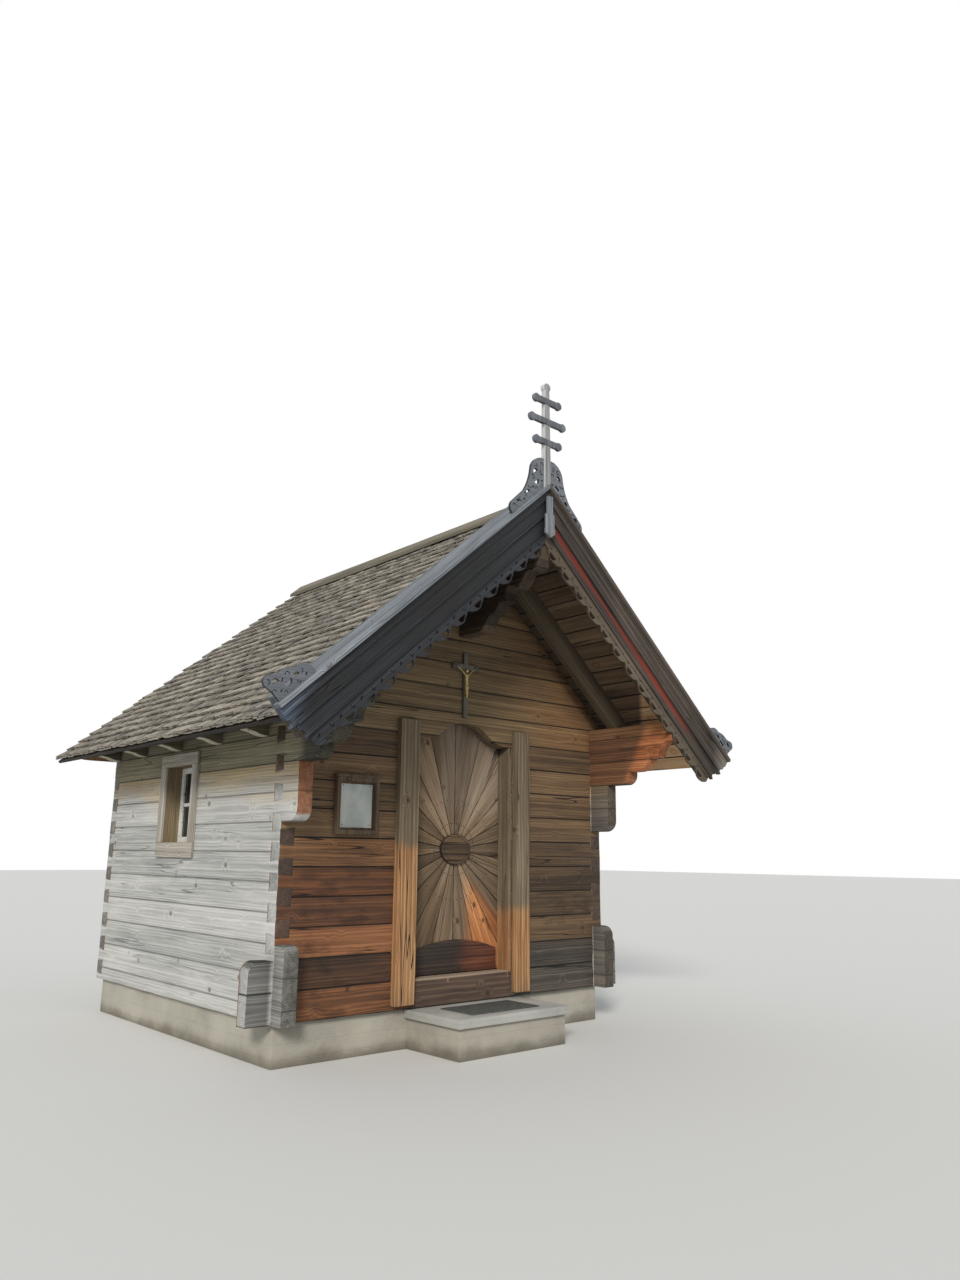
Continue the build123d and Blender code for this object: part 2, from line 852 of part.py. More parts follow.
def crest_board(side):
    """Pierced scroll board beside the foot of the cross, with a tail down the verge."""
    gap = cross_foot_width / 2
    top = (gap * cos_pitch - crest_height * sin_pitch, -gap * sin_pitch - crest_height * cos_pitch)
    swell, shoulder, hollow = [(along, -up) for along, up in (crest_swell, crest_shoulder, crest_hollow)]
    tail = [(along, -up) for along, up in crest_tail]
    foot = (gap / cos_pitch, 0)
    runs = [(foot, top), (top, swell, shoulder), (shoulder, hollow, tail[0]), (tail[0], tail[1]),
            (tail[1], tail[2], tail[3]), (tail[3], foot)]
    board = extrude(slope_face(side, runs, barge_face, verge_apex), crest_thick, dir=(0, 1, 0))
    return pierced(board, side, 0, 1, crest_moons, crest_leaves, crest_thick)


def crest():
    return [crest_board(-1), crest_board(1)]


def ridge_cross():
    """Post with three bars whose ends are round, and a round head."""
    low = verge_apex - cross_foot_width / 2 * slope
    foot = cross_foot_width / 2
    head = cross_top_width / 2
    neck = verge_apex + cross_height - cross_head_radius
    outline = [(-foot, low), (0, verge_apex), (foot, low), (head, neck), (-head, neck)]
    y0 = barge_face + (crest_thick - cross_thick) / 2
    cross = along_y(outline, y0, y0 + cross_thick)
    cross += Pos(0, y0 + cross_thick / 2, neck) * Rot(90, 0, 0) * Cylinder(cross_head_radius, cross_thick)
    bar_y = y0 - cross_bar_proud
    for height, reach in cross_bars:
        z = verge_apex + height
        cross += block(-reach + cross_lobe_radius, reach - cross_lobe_radius, bar_y, bar_y + cross_bar_thick,
                       z - cross_bar_height / 2, z + cross_bar_height / 2)
        for side in (-1, 1):
            lobe = Cylinder(cross_lobe_radius, cross_bar_thick)
            place = Pos(side * (reach - cross_lobe_radius), bar_y + cross_bar_thick / 2, z)
            cross += place * Rot(90, 0, 0) * lobe
    return cross


def apex_pendant():
    """Strip down the joint of the bargeboards, with a notched and pointed board at its foot."""
    y1 = barge_face - fascia_thick
    y0 = barge_face - verge_plank_proud
    half = pendant_width / 2
    strip = pendant_strip_width / 2

    def p(x, down):
        return (x, verge_apex - down)

    outline = [(-strip, pendant_strip_top), (-strip, pendant_top), (-half, pendant_top)]
    outline += [(-half - out, pendant_waist + down) for out, down in pendant_notches]
    outline.append((0, pendant_bottom))
    outline += [(-x, down) for x, down in reversed(outline[:-1])]
    return along_y([p(x, down) for x, down in outline], y0, y1)


def post(side):
    inner = door_offset + side * (door_half + post_gap)
    outer = inner + side * (post_left_width if side < 0 else post_right_width)
    return block(min(inner, outer), max(inner, outer), front - post_proud, front + post_back,
                 base + post_foot, base + post_top)


def door_frame():
    """Two jambs beside the posts and two head boards; the leaf closes against their backs."""
    y0 = front + post_back
    y1 = front + leaf_face - frame_gap
    half = door_half + frame_thick
    bottom = door_shoulder - 1
    ring = arched_panel(half, bottom, door_shoulder + frame_thick, door_peak + frame_thick, y0, y1)
    ring -= arched_panel(door_half, bottom - 1, door_shoulder, door_peak, y0 - 1, y1 + 1)
    boards = []
    for side in (-1, 1):
        x0, x1 = sorted((door_offset + side * half, door_offset))
        boards.append(ring & block(x0, x1, y0, y1, base + door_shoulder, base + door_peak + frame_thick))
        x0, x1 = sorted((door_offset + side * half, door_offset + side * door_half))
        boards.append(block(x0, x1, front, y1, sill_z, base + door_shoulder))
    return boards


def door_posts():
    return [post(-1), post(1)] + door_frame()


def threshold():
    half = door_half + frame_thick
    sill = block(door_offset - half, door_offset + half, front, inner_front, base, sill_z)
    frame_back = front + leaf_face - frame_gap
    sill += block(door_offset - half, door_offset + half, inner_front, frame_back, base + floor_level, sill_z)
    return sill - [post(-1), post(1)]


def door_leaf():
    half = door_half + leaf_lap
    y0 = front + leaf_face
    leaf = arched_panel(half, leaf_bottom, door_shoulder + leaf_lap, door_peak + leaf_lap,
                        y0, y0 + leaf_thick)
    reach = ray_reach
    centre = Vector(door_offset, y0, base + disc_height)
    blade = extrude(make_face(Polyline([(0, 0), (reach, 0), (reach, ray_groove), (0, ray_groove)],
                                       close=True)), ray_groove)
    for k in range(ray_count):
        turn = 360 * (k + 0.5) / ray_count
        groove = Pos(centre) * Rot(0, turn, 0) * Rot(90, 0, 0) * Pos(0, 0, -ray_groove) * blade
        leaf -= groove
    return leaf


def door_disc():
    y0 = front + leaf_face
    face = Plane(origin=(door_offset, y0, base + disc_height), x_dir=(1, 0, 0), z_dir=(0, -1, 0))
    return extrude(face * Ellipse(disc_long / 2, disc_tall / 2), disc_thick)


def kickboard():
    y0 = front + leaf_face - kick_thick
    half = door_half - kick_gap
    bottom = base + leaf_bottom
    edges = [
        Line((door_offset - half, y0, bottom), (door_offset + half, y0, bottom)),
        Line((door_offset + half, y0, bottom), (door_offset + half, y0, bottom + kick_end_height)),
        ThreePointArc((door_offset + half, y0, bottom + kick_end_height),
                      (door_offset, y0, bottom + kick_height),
                      (door_offset - half, y0, bottom + kick_end_height)),
        Line((door_offset - half, y0, bottom + kick_end_height), (door_offset - half, y0, bottom)),
    ]
    return extrude(make_face(edges), kick_thick, dir=(0, 1, 0))


def door_battens():
    y0 = front + leaf_face + leaf_thick
    half = door_half - batten_end
    return [block(door_offset - half, door_offset + half, y0, y0 + batten_thick,
                  base + z - batten_height / 2, base + z + batten_height / 2)
            for z in (batten_low, batten_high)]


def hinge_heights():
    return [base + z - batten_height / 2 - knuckle_length for z in (batten_low, batten_high)]


def strap(z):
    y0 = front + leaf_face + leaf_thick
    bar = block(pin_x, pin_x + strap_length, y0, y0 + strap_thick, z, z + strap_height)
    knuckle = Pos(pin_x, pin_y, z + strap_height / 2) * Cylinder(knuckle_radius, strap_height)
    hinge = bar + knuckle
    return hinge - Pos(pin_x, pin_y, z + strap_height / 2) * Cylinder(pin_radius + pin_play, strap_height)


def door_straps():
    return [strap(z) for z in hinge_heights()]


def hinge_bracket(z):
    """Plate on the jamb with an arm, a socket and the pin that the strap turns on."""
    jamb = door_offset - door_half - frame_thick
    low = z - knuckle_length
    high = z - hinge_gap
    face = inner_front + strap_thick
    plate_solid = block(jamb - hinge_plate_width - hinge_gap, jamb - hinge_gap, inner_front, face,
                        low - hinge_plate_rise, high)
    arm = block(jamb - hinge_arm_width, jamb - hinge_arm_width + hinge_arm_thick, face, pin_y, low, high)
    arm += block(jamb - hinge_arm_width, pin_x, pin_y - hinge_arm_thick / 2, pin_y + hinge_arm_thick / 2,
                 low, high)
    socket = Pos(pin_x, pin_y, (low + high) / 2) * Cylinder(knuckle_radius, high - low)
    pin = Pos(pin_x, pin_y, z + strap_height / 2) * Cylinder(pin_radius, strap_height + pin_tail)
    return plate_solid + arm + socket + pin


def hinge_brackets():
    return [hinge_bracket(z) for z in hinge_heights()]


def window_frame(side):
    """Casing boards outside and the deep lining through the wall, as one joined frame."""
    y = front + window_centre
    z0 = base + window_sill
    z1 = z0 + window_height
    half = window_width / 2
    face = side * (half_width + casing_proud)
    wall = side * half_width
    inside = side * (half_width - lining_depth)
    casing = block(min(face, wall), max(face, wall), y - half - casing_side, y + half + casing_side,
                   z0 - casing_bottom, z1 + casing_top)
    lining = block(min(wall, inside), max(wall, inside), y - half - lining_thick,
                   y + half + lining_thick, z0 - lining_thick, z1 + lining_thick)
    hole = block(min(face, inside) - 1, max(face, inside) + 1, y - half, y + half, z0, z1)
    return casing + lining - hole


def window_frames():
    return [window_frame(-1), window_frame(1)]


def sash(side):
    y = front + window_centre
    z0 = base + window_sill
    z1 = z0 + window_height
    half = window_width / 2
    a = side * (half_width - sash_depth)
    b = side * (half_width - sash_depth - sash_thick)
    frame = block(min(a, b), max(a, b), y - half, y + half, z0, z1)
    for low, high in pane_heights(z0, z1):
        frame -= block(min(a, b) - 1, max(a, b) + 1, y - half + sash_bar, y + half - sash_bar, low, high)
    return frame


def pane_heights(z0, z1):
    """Lower and upper edge of each pane, above and below the middle bar."""
    middle = (z0 + z1) / 2
    half = sash_middle_bar / 2
    return ((z0 + sash_bar, middle - half), (middle + half, z1 - sash_bar))


def window_sashes():
    return [sash(-1), sash(1)]


def window_panes():
    y = front + window_centre
    z0 = base + window_sill
    z1 = z0 + window_height
    half = window_width / 2 - sash_bar
    solids = []
    for side in (-1, 1):
        x = side * (half_width - sash_depth - sash_thick / 2)
        for low, high in pane_heights(z0, z1):
            solids.append(block(x - pane_thick / 2, x + pane_thick / 2, y - half, y + half, low, high))
    return solids


def notice_board():
    x0 = notice_left
    x1 = notice_left + notice_width
    z0 = base + notice_bottom
    z1 = z0 + notice_height
    board = block(x0, x1, front - notice_depth, front, z0, z1)
    board -= block(x0 + notice_frame, x1 - notice_frame, front - notice_depth - 1, front - notice_back,
                   z0 + notice_frame, z1 - notice_frame)
    proud = notice_cap_proud
    return board + block(x0 - proud, x1 + proud, front - notice_depth - proud, front, z1, z1 + notice_cap_thick)


def notice_sheet():
    x0 = notice_left + notice_frame + sheet_gap
    x1 = notice_left + notice_width - notice_frame - sheet_gap
    z0 = base + notice_bottom + notice_frame + sheet_gap
    z1 = base + notice_bottom + notice_height - notice_frame - sheet_gap
    y1 = front - notice_back
    return block(x0, x1, y1 - sheet_thick, y1, z0, z1)


def crucifix():
    half = crucifix_bar / 2
    z0 = base + crucifix_bottom
    arm = z0 + crucifix_arm_height
    upright = block(-half, half, front - crucifix_thick, front, z0, z0 + crucifix_height)
    return upright + block(-crucifix_arm, crucifix_arm, front - crucifix_thick, front, arm - half, arm + half)


def crucifix_figure():
    """Small carved figure with raised arms, fixed to the cross."""
    arm = base + crucifix_bottom + crucifix_arm_height
    y = front - crucifix_thick
    neck = figure_neck[0]
    half = [(neck, figure_length), figure_knee, figure_shoulder, figure_neck, (neck, figure_chin)]
    body = [(x, arm - down) for x, down in half] + [(-x, arm - down) for x, down in reversed(half)]
    figure = along_y(body, y - figure_depth, y)
    for side in (-1, 1):
        limb = [(side * neck, arm - figure_shoulder[1]), (side * figure_hand, arm - neck),
                (side * figure_hand, arm + neck), (side * neck, arm - figure_neck[1])]
        figure += along_y(limb, y - figure_depth / 2, y)
    head = Cylinder(figure_head_radius, figure_head)
    return figure + Pos(0, y - figure_head_radius - 1, arm - figure_head / 2) * head


parts = {
    "plinth": plinth(),
    "step_block": step_block(),
    "step_slab": step_slab(),
    "door_mat": door_mat(),
    "floor": floor_boards(),
    "floor_sleepers": floor_sleepers(),
    "front_wall_left": front_wall(-1),
    "front_wall_right": front_wall(1),
    "front_gable": front_gable(),
    "left_wall": side_wall(-1),
    "right_wall": side_wall(1),
    "back_wall": back_wall(),
    "left_plate": plate(-1),
    "right_plate": plate(1),
    "eave_brackets_left": eave_brackets(-1),
    "eave_brackets_right": eave_brackets(1),
    "ridge_beam": ridge_beam(),
    "ridge_bracket": ridge_bracket(),
    "rafters_left": rafters(-1),
    "rafters_right": rafters(1),
    "roof_boards_left": roof_boards(-1),
    "roof_boards_right": roof_boards(1),
    "roof_boards_back": roof_boards_back(),
    "shingles_left": shingles(-1),
    "shingles_right": shingles(1),
    "shingles_back": shingles_back(),
    "ridge_cap": ridge_cap(),
    "bargeboard_left": bargeboard(-1),
    "bargeboard_right": bargeboard(1),
    "lower_board_left": lower_board(-1),
    "lower_board_right": lower_board(1),
    "fretwork_left": fretwork(-1),
    "fretwork_right": fretwork(1),
    "verge_plank_left": verge_plank(-1),
    "verge_plank_right": verge_plank(1),
    "eave_ornaments": ears(),
    "crest": crest(),
    "ridge_cross": ridge_cross(),
    "apex_pendant": apex_pendant(),
    "door_posts": door_posts(),
    "threshold": threshold(),
    "door_leaf": door_leaf(),
    "door_disc": door_disc(),
    "door_kickboard": kickboard(),
    "door_battens": door_battens(),
    "door_straps": door_straps(),
    "hinge_brackets": hinge_brackets(),
    "window_frames": window_frames(),
    "window_sashes": window_sashes(),
    "window_panes": window_panes(),
    "notice_board": notice_board(),
    "notice_sheet": notice_sheet(),
    "crucifix": crucifix(),
    "crucifix_figure": crucifix_figure(),
}

for name, shape in parts.items():
    if isinstance(shape, list):
        shape = Compound(shape)
    export_step(shape, f"parts/{name}.step")
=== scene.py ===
import contextlib
import math
import random

import bpy
from mathutils import Matrix, Vector


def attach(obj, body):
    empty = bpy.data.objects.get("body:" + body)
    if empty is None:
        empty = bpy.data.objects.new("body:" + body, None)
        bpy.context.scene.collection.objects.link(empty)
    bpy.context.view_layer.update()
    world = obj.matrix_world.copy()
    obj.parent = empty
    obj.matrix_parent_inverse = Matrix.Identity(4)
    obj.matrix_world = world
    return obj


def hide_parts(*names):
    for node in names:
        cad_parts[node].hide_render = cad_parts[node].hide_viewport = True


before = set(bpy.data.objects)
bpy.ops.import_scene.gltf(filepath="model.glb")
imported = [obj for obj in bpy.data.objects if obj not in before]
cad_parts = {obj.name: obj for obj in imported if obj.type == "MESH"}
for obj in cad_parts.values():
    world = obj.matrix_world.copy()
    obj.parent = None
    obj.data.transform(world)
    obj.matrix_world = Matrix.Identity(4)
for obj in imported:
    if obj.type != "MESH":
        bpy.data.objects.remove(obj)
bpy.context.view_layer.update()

bpy.ops.object.select_all(action="DESELECT")


# Plinth: the low wall of pale concrete that the chapel stands on, cast between boards. Its foot is
# stained by splashed earth, and the marks of the boards still run along it.

def arithmetic(operation):
    """An operator of a reading, which adds one Math node."""
    return lambda reading, *others: reading.math(operation, reading, *others)


class Reading:
    """What one output of a node gives; arithmetic on it adds Math nodes."""

    def __init__(self, finish, socket):
        self.finish = finish
        self.socket = socket

    def math(self, operation, *values):
        return self.finish.node("ShaderNodeMath", {"operation": operation}, dict(enumerate(values)))

    def between(self, low, high, low_out=0.0, high_out=1.0):
        """Goes softly from one level to the other while the reading goes from low to high."""
        return self.finish.node("ShaderNodeMapRange", {"interpolation_type": "SMOOTHSTEP"},
                                {0: self, 1: low, 2: high, 3: low_out, 4: high_out})

    def __rsub__(self, other):
        return self.math("SUBTRACT", other, self)

    __add__ = __radd__ = arithmetic("ADD")
    __sub__ = arithmetic("SUBTRACT")
    __mul__ = __rmul__ = arithmetic("MULTIPLY")
    __truediv__ = arithmetic("DIVIDE")
    __pow__ = arithmetic("POWER")
    __gt__ = arithmetic("GREATER_THAN")
    __lt__ = arithmetic("LESS_THAN")
    __abs__ = arithmetic("ABSOLUTE")
    __floor__ = arithmetic("FLOOR")
    sine = arithmetic("SINE")
    fraction = arithmetic("FRACT")
    or_more = arithmetic("MAXIMUM")


def tint(red, green, blue):
    """A colour as it is read off the chapel, made linear."""
    parts = [c / 255 for c in (red, green, blue)]
    return tuple(c / 12.92 if c < 0.04 else ((c + 0.055) / 1.055) ** 2.4 for c in parts) + (1.0,)


class Nodes:
    """A tree of nodes; one method adds a node of any kind."""

    def __init__(self, owner):
        owner.use_nodes = True
        self.tree = owner.node_tree
        self.tree.nodes.clear()

    def node(self, kind, settings, sockets, out=0):
        made = self.tree.nodes.new(kind)
        for name, value in settings.items():
            if name == "stops":
                stops = made.color_ramp.elements
                while len(stops) < len(value):
                    stops.new(0.5)
                for stop, (place, colour) in zip(stops, value):
                    stop.position = place
                    stop.color = colour
            else:
                setattr(made, name, value)
        for name, value in sockets.items():
            if isinstance(value, Reading):
                self.tree.links.new(value.socket, made.inputs[name])
            else:
                made.inputs[name].default_value = value
        return Reading(self, made.outputs[out]) if made.outputs else made


class Finish(Nodes):
    """One surface finish, put together from its nodes."""

    def __init__(self, name, turn=(0, 0, 0)):
        self.material = bpy.data.materials.new(name)
        super().__init__(self.material)
        place = self.node("ShaderNodeTexCoord", {}, {}, "Object")
        self.x, self.y, self.z = self.split(place)
        self.point = self.grain = self.node("ShaderNodeMapping", {}, {"Vector": place, "Rotation": turn})
        self.run, self.across, self.up = self.lay(self.point)

    def lay(self, point):
        """Where a point lies along the grain, across it and out of it."""
        return self.split(point)

    def split(self, vector):
        first = self.node("ShaderNodeSeparateXYZ", {}, {0: vector})
        outputs = first.socket.node.outputs
        return first, Reading(self, outputs[1]), Reading(self, outputs[2])

    def join(self, x, y, z):
        return self.node("ShaderNodeCombineXYZ", {}, {0: x, 1: y, 2: z})

    def stretch(self, vector, scale):
        return self.node("ShaderNodeVectorMath", {"operation": "MULTIPLY"}, {0: vector, 1: scale})

    def noise(self, scale, detail=3.0, rough=0.55, at=None):
        stretched = self.stretch(at or self.grain, scale)
        return self.node("ShaderNodeTexNoise", {},
                         {"Vector": stretched, "Scale": 1.0, "Detail": detail, "Roughness": rough})

    def ramp(self, value, *stops):
        """Colours as they are read off the chapel, each at its place."""
        linear = [(place, tint(*colour)) for place, colour in stops]
        return self.node("ShaderNodeValToRGB", {"stops": linear}, {0: value})

    def mix(self, share, one, two):
        return self.node("ShaderNodeMix", {"data_type": "RGBA"}, {0: share, 6: one, 7: two}, 2)

    def dim(self, colour, share):
        return self.node("ShaderNodeVectorMath", {"operation": "SCALE"}, {0: colour, "Scale": share})

    def close(self, colour, height, rough=0.75, depth=0.004, strength=0.6, metallic=0.0):
        bump = self.node("ShaderNodeBump", {}, {"Height": height, "Distance": depth, "Strength": strength})
        shader = self.node("ShaderNodeBsdfPrincipled", {},
                           {"Base Color": colour, "Roughness": rough, "Metallic": metallic, "Normal": bump})
        self.node("ShaderNodeOutputMaterial", {}, {"Surface": shader})
        return self.material


def concrete(name, pale, stained, stain_height):
    cast = Finish(name)
    cloud = cast.noise((3, 3, 3), 4)
    sand = cast.noise((160, 160, 160), 2)
    pit = cast.node("ShaderNodeTexVoronoi", {}, {"Vector": cast.point, "Scale": 45.0}).between(0.0, 0.16, 1, 0)
    seam = abs((cast.z * 11.0).fraction() - 0.5).between(0.0, 0.05, 1, 0)
    colour = cast.ramp(cloud * 0.75 + sand * 0.3, (0.25, [c * 0.8 for c in pale]), (0.5, pale),
                       (0.75, [min(255, c * 1.1) for c in pale]))
    wet = (cast.z + cloud * 0.16 - 0.08).between(stain_height, 0.0)
    colour = cast.mix(wet * 0.75, colour, tint(*stained))
    colour = cast.dim(colour, 1 - pit * 0.25 - seam * 0.08)
    return cast.close(colour, sand * 0.4 + cloud * 0.4 - pit - seam * 0.5, 0.88, 0.003, 0.5)


def select_only(piece):
    bpy.ops.object.select_all(action="DESELECT")
    piece.select_set(True)
    bpy.context.view_layer.objects.active = piece


@contextlib.contextmanager
def all_of(piece):
    """Opens a piece for work on its faces, with all of them selected."""
    select_only(piece)
    bpy.ops.object.mode_set(mode="EDIT")
    bpy.ops.mesh.select_all(action="SELECT")
    yield
    bpy.ops.object.mode_set(mode="OBJECT")


def modify(piece, kind, **settings):
    """Changes a piece by one modifier."""
    select_only(piece)
    change = piece.modifiers.new("change", kind)
    for name, value in settings.items():
        setattr(change, name, value)
    bpy.ops.object.modifier_apply(modifier="change")


def blank(node, name):
    """A copy of a CAD piece, its loose triangles joined to whole faces, ready to be worked."""
    piece = bpy.data.objects.new(name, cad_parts[node].data.copy())
    bpy.context.collection.objects.link(piece)
    with all_of(piece):
        bpy.ops.mesh.remove_doubles(threshold=0.00005)
        bpy.ops.mesh.dissolve_limited(angle_limit=math.radians(1))
    bpy.ops.mesh.customdata_custom_splitnormals_clear()
    return piece


def cut_across(piece, normal, first, last, pitch):
    """Cuts through a piece at even steps, so that it has points to swell and waver at."""
    with all_of(piece):
        for k in range(int((last - first) / pitch)):
            place = Vector(normal) * (first + (k + 0.5) * pitch)
            bpy.ops.mesh.select_all(action="SELECT")
            bpy.ops.mesh.bisect(plane_co=place, plane_no=normal)


def waver(piece, amount, size):
    """Moves the faces by a few millimetres, as hand work and age leave them."""
    clouds = bpy.data.textures.new(piece.name + "_uneven", "CLOUDS")
    clouds.cloud_type = "COLOR"
    clouds.noise_scale = size
    modify(piece, "DISPLACE", texture=clouds, direction="RGB_TO_XYZ", texture_coords="LOCAL", mid_level=0.5,
           strength=amount)


def worn_edges(piece, width, segments=2, angle=35):
    modify(piece, "BEVEL", width=width, segments=segments, limit_method="ANGLE", angle_limit=math.radians(angle))
    bpy.ops.object.shade_smooth_by_angle(angle=math.radians(40))


def fit(piece, material, nodes=(), body="chapel"):
    """Gives a piece its finish and fixes it to the chapel, or to the door."""
    piece.data.materials.clear()
    piece.data.materials.append(material)
    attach(piece, body)
    if nodes:
        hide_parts(*nodes)


ALONG_X, ALONG_Y, ALONG_Z = (1, 0, 0), (0, 1, 0), (0, 0, 1)

plinth = blank("plinth", "cast_plinth")
cut_across(plinth, ALONG_X, -1.5, 1.5, 0.12)
cut_across(plinth, ALONG_Y, -1.0, 1.9, 0.12)
waver(plinth, 0.006, 0.3)
for corner in plinth.data.vertices:
    corner.co.z = max(corner.co.z, 0.0)
worn_edges(plinth, 0.006)
fit(plinth, concrete("plinth_concrete", (166, 162, 150), (98, 91, 77), 0.1), ["plinth"])


# Step: a cast block with a slab that overhangs it a little. The slab is trowelled smooth, its edges
# are rounded by feet, and a dark ribbed mat lies sunk in the middle.

def worked(node, name, material, worn=0.003, segments=2, cuts=(), uneven=None, body="chapel"):
    """A piece of the chapel: made uneven where it is hewn, its edges worn and its finish put on."""
    piece = blank(node, name)
    for cut in cuts:
        cut_across(piece, *cut)
    if uneven:
        waver(piece, *uneven)
    worn_edges(piece, worn, segments)
    fit(piece, material, [node], body)


worked("step_block", "cast_step", concrete("step_concrete", (165, 160, 148), (92, 86, 74), 0.1), 0.005)
worked("step_slab", "step_plate", concrete("slab_concrete", (172, 172, 167), (120, 118, 108), 0.05),
       0.007, 3)

ribbed = Finish("ribbed_mat")
rib = (ribbed.x * 520.0).sine()
lint = ribbed.noise((60, 60, 60), 4)
fleck = ribbed.ramp(rib * 0.18 + lint, (0.2, (44, 46, 45)), (0.55, (80, 83, 79)), (0.85, (112, 115, 109)))
worked("door_mat", "ribbed_door_mat", ribbed.close(fleck, rib * 0.5 + lint * 0.5, 0.95, 0.002, 0.8), 0.004)


# Log walls: squared logs of larch, hewn on both faces and laid flat on each other, with dovetailed
# ends at the corners and ends that run on at the foot and under the eaves. Sun and rain have turned
# the left wall silver below the shelter of the eaves; the front is still brown, darkest at its foot,
# where patches of dappled shade are painted on.

base = 0.26
course = 0.186
front = -1.0185
back = 1.8415
half_width = 1.5
wall_thick = 0.105


def laid(run, face):
    """How a pattern turns so that the grain follows one direction and another is square to the face."""
    run, face = Vector(run).normalized(), Vector(face).normalized()
    return tuple(Matrix((run, face, run.cross(face))).to_euler())


GRAIN_X, GRAIN_Y, GRAIN_Z = laid(ALONG_X, ALONG_Y), laid(ALONG_Y, (-1, 0, 0)), laid(ALONG_Z, ALONG_Y)


class Timber(Finish):
    """Wood with its grain along one way: fibres, rings, knots and drying cracks."""

    def __init__(self, name, turn, tones, start=-50.0, pitch=100.0, heart=0.0, ring=0.014, knots=0.5, cracks=1.0,
                 joint=0.0, own_tone=0.3):
        super().__init__(name, turn)
        self.number = math.floor((self.up - start) / pitch)
        self.own = self.node("ShaderNodeTexWhiteNoise", {"noise_dimensions": "1D"}, {"W": self.number + 3.7})
        height = self.up - start - (self.number + 0.5) * pitch
        self.grain = self.join(self.run + self.own * 17.0, self.across, self.up)
        self.streak = self.noise((0.8, 34, 34), 5, 0.6)
        self.fibre = self.noise((4, 210, 210), 2)
        self.blotch = self.noise((1.1, 4.5, 4.5), 4, 0.6)
        cells = self.stretch(self.grain, (5.0, 6.5, 6.5))
        cell = self.node("ShaderNodeTexVoronoi", {}, {"Vector": cells, "Scale": 1.0})
        chance = self.split(Reading(self, cell.socket.node.outputs["Color"]))[0] < knots
        bend = cell.between(0.0, 0.34, 1, 0) * chance
        self.knot = cell.between(0.07, 0.12, 1, 0) * chance
        self.rim = abs(cell - 0.115).between(0.0, 0.022, 1, 0) * chance
        drift = self.blotch - 0.5
        one = self.across - heart + drift * 0.02
        two = height + drift * 0.045
        radius = (one * one + two * two) ** 0.5 + bend * 0.035
        wave = (radius * (2 * math.pi / ring)).sine()
        self.rings = (wave + self.streak * 0.8).between(-0.2, 1.5)
        slit = self.noise((0.5, 15, 15), 2, 0.35)
        patch = self.noise((0.9, 5, 5), 1).between(0.5, 0.58)
        self.crack = abs(slit - 0.5).between(0.0, 0.012, 1, 0) * patch * cracks
        self.tone = (self.streak * 0.48 + self.rings * 0.1 + self.fibre * 0.2 + self.blotch * 0.34
                     + (self.own - 0.5) * own_tone - 0.075)
        self.colour = self.toned(tones)
        ragged = abs(height) + (self.streak - 0.5) * 0.006
        self.seam = ragged.between(pitch / 2 - 0.008, pitch / 2 - 0.004) * joint
        facing = self.node("ShaderNodeMapping", {"vector_type": "NORMAL"},
                           {0: self.node("ShaderNodeTexCoord", {}, {}, "Normal"), "Rotation": turn})
        self.facing = self.split(facing)
        self.end = abs(self.facing[0]).between(0.75, 0.95)

    def toned(self, tones):
        """The wood in other tones, from weather and from painted light and shade: its dark, middle and light tones.
        """
        return self.ramp(self.tone, *zip((0.3, 0.5, 0.7), tones))

    def cover(self, share, colour):
        self.colour = self.mix(share, self.colour, colour)

    # Covers the wood with other tones where the share says; used for weathering and for painted light and shade
    # alike.
    def age(self, share, tones):
        self.cover(share, self.toned(tones))

    def darken(self, light_left):
        self.colour = self.dim(self.colour, light_left)

    def done(self, knot=(58, 32, 18), rough=0.82, depth=0.004, strength=0.7, end=0.3):
        self.cover(self.knot * 0.75, tint(*knot))
        self.darken((1 - self.crack * 0.85) * (1 - self.rim * 0.35) * (1 - self.seam * 0.85) * (1 - self.end * end))
        relief = self.fibre * 0.35 + self.rings * 0.35 + self.streak * 0.4 + self.knot * 0.5 - self.crack * 1.3
        return self.close(self.colour, relief, rough, depth, strength)


def hewn(node, normal, first, last, material):
    """A wall of logs, uneven from the axe."""
    worked(node, node + "_hewn", material, 0.004, cuts=[(normal, first, last, 0.085)],
           uneven=(0.009, 0.22))


logs = Timber("front_logs", GRAIN_X, ((60, 46, 34), (104, 82, 58), (142, 114, 84)), base, course,
              front + wall_thick / 2, joint=1.0, own_tone=0.2, cracks=1.2, knots=0.6)
left_of_door = logs.x.between(-0.1, -0.2)
log_tones = (((52, 36, 26), (110, 70, 44), (158, 106, 66)), ((34, 24, 18), (74, 48, 33), (118, 78, 50)),
             ((74, 46, 29), (122, 77, 49), (164, 112, 74)), ((38, 25, 18), (80, 49, 32), (118, 76, 48)),
             ((68, 43, 27), (116, 72, 43), (154, 104, 67)), ((82, 58, 38), (130, 92, 60), (172, 130, 92)))
for number, tones in enumerate(log_tones):
    this_log = abs(logs.number - number) < 0.5
    logs.age(this_log * left_of_door * 0.92, tones)
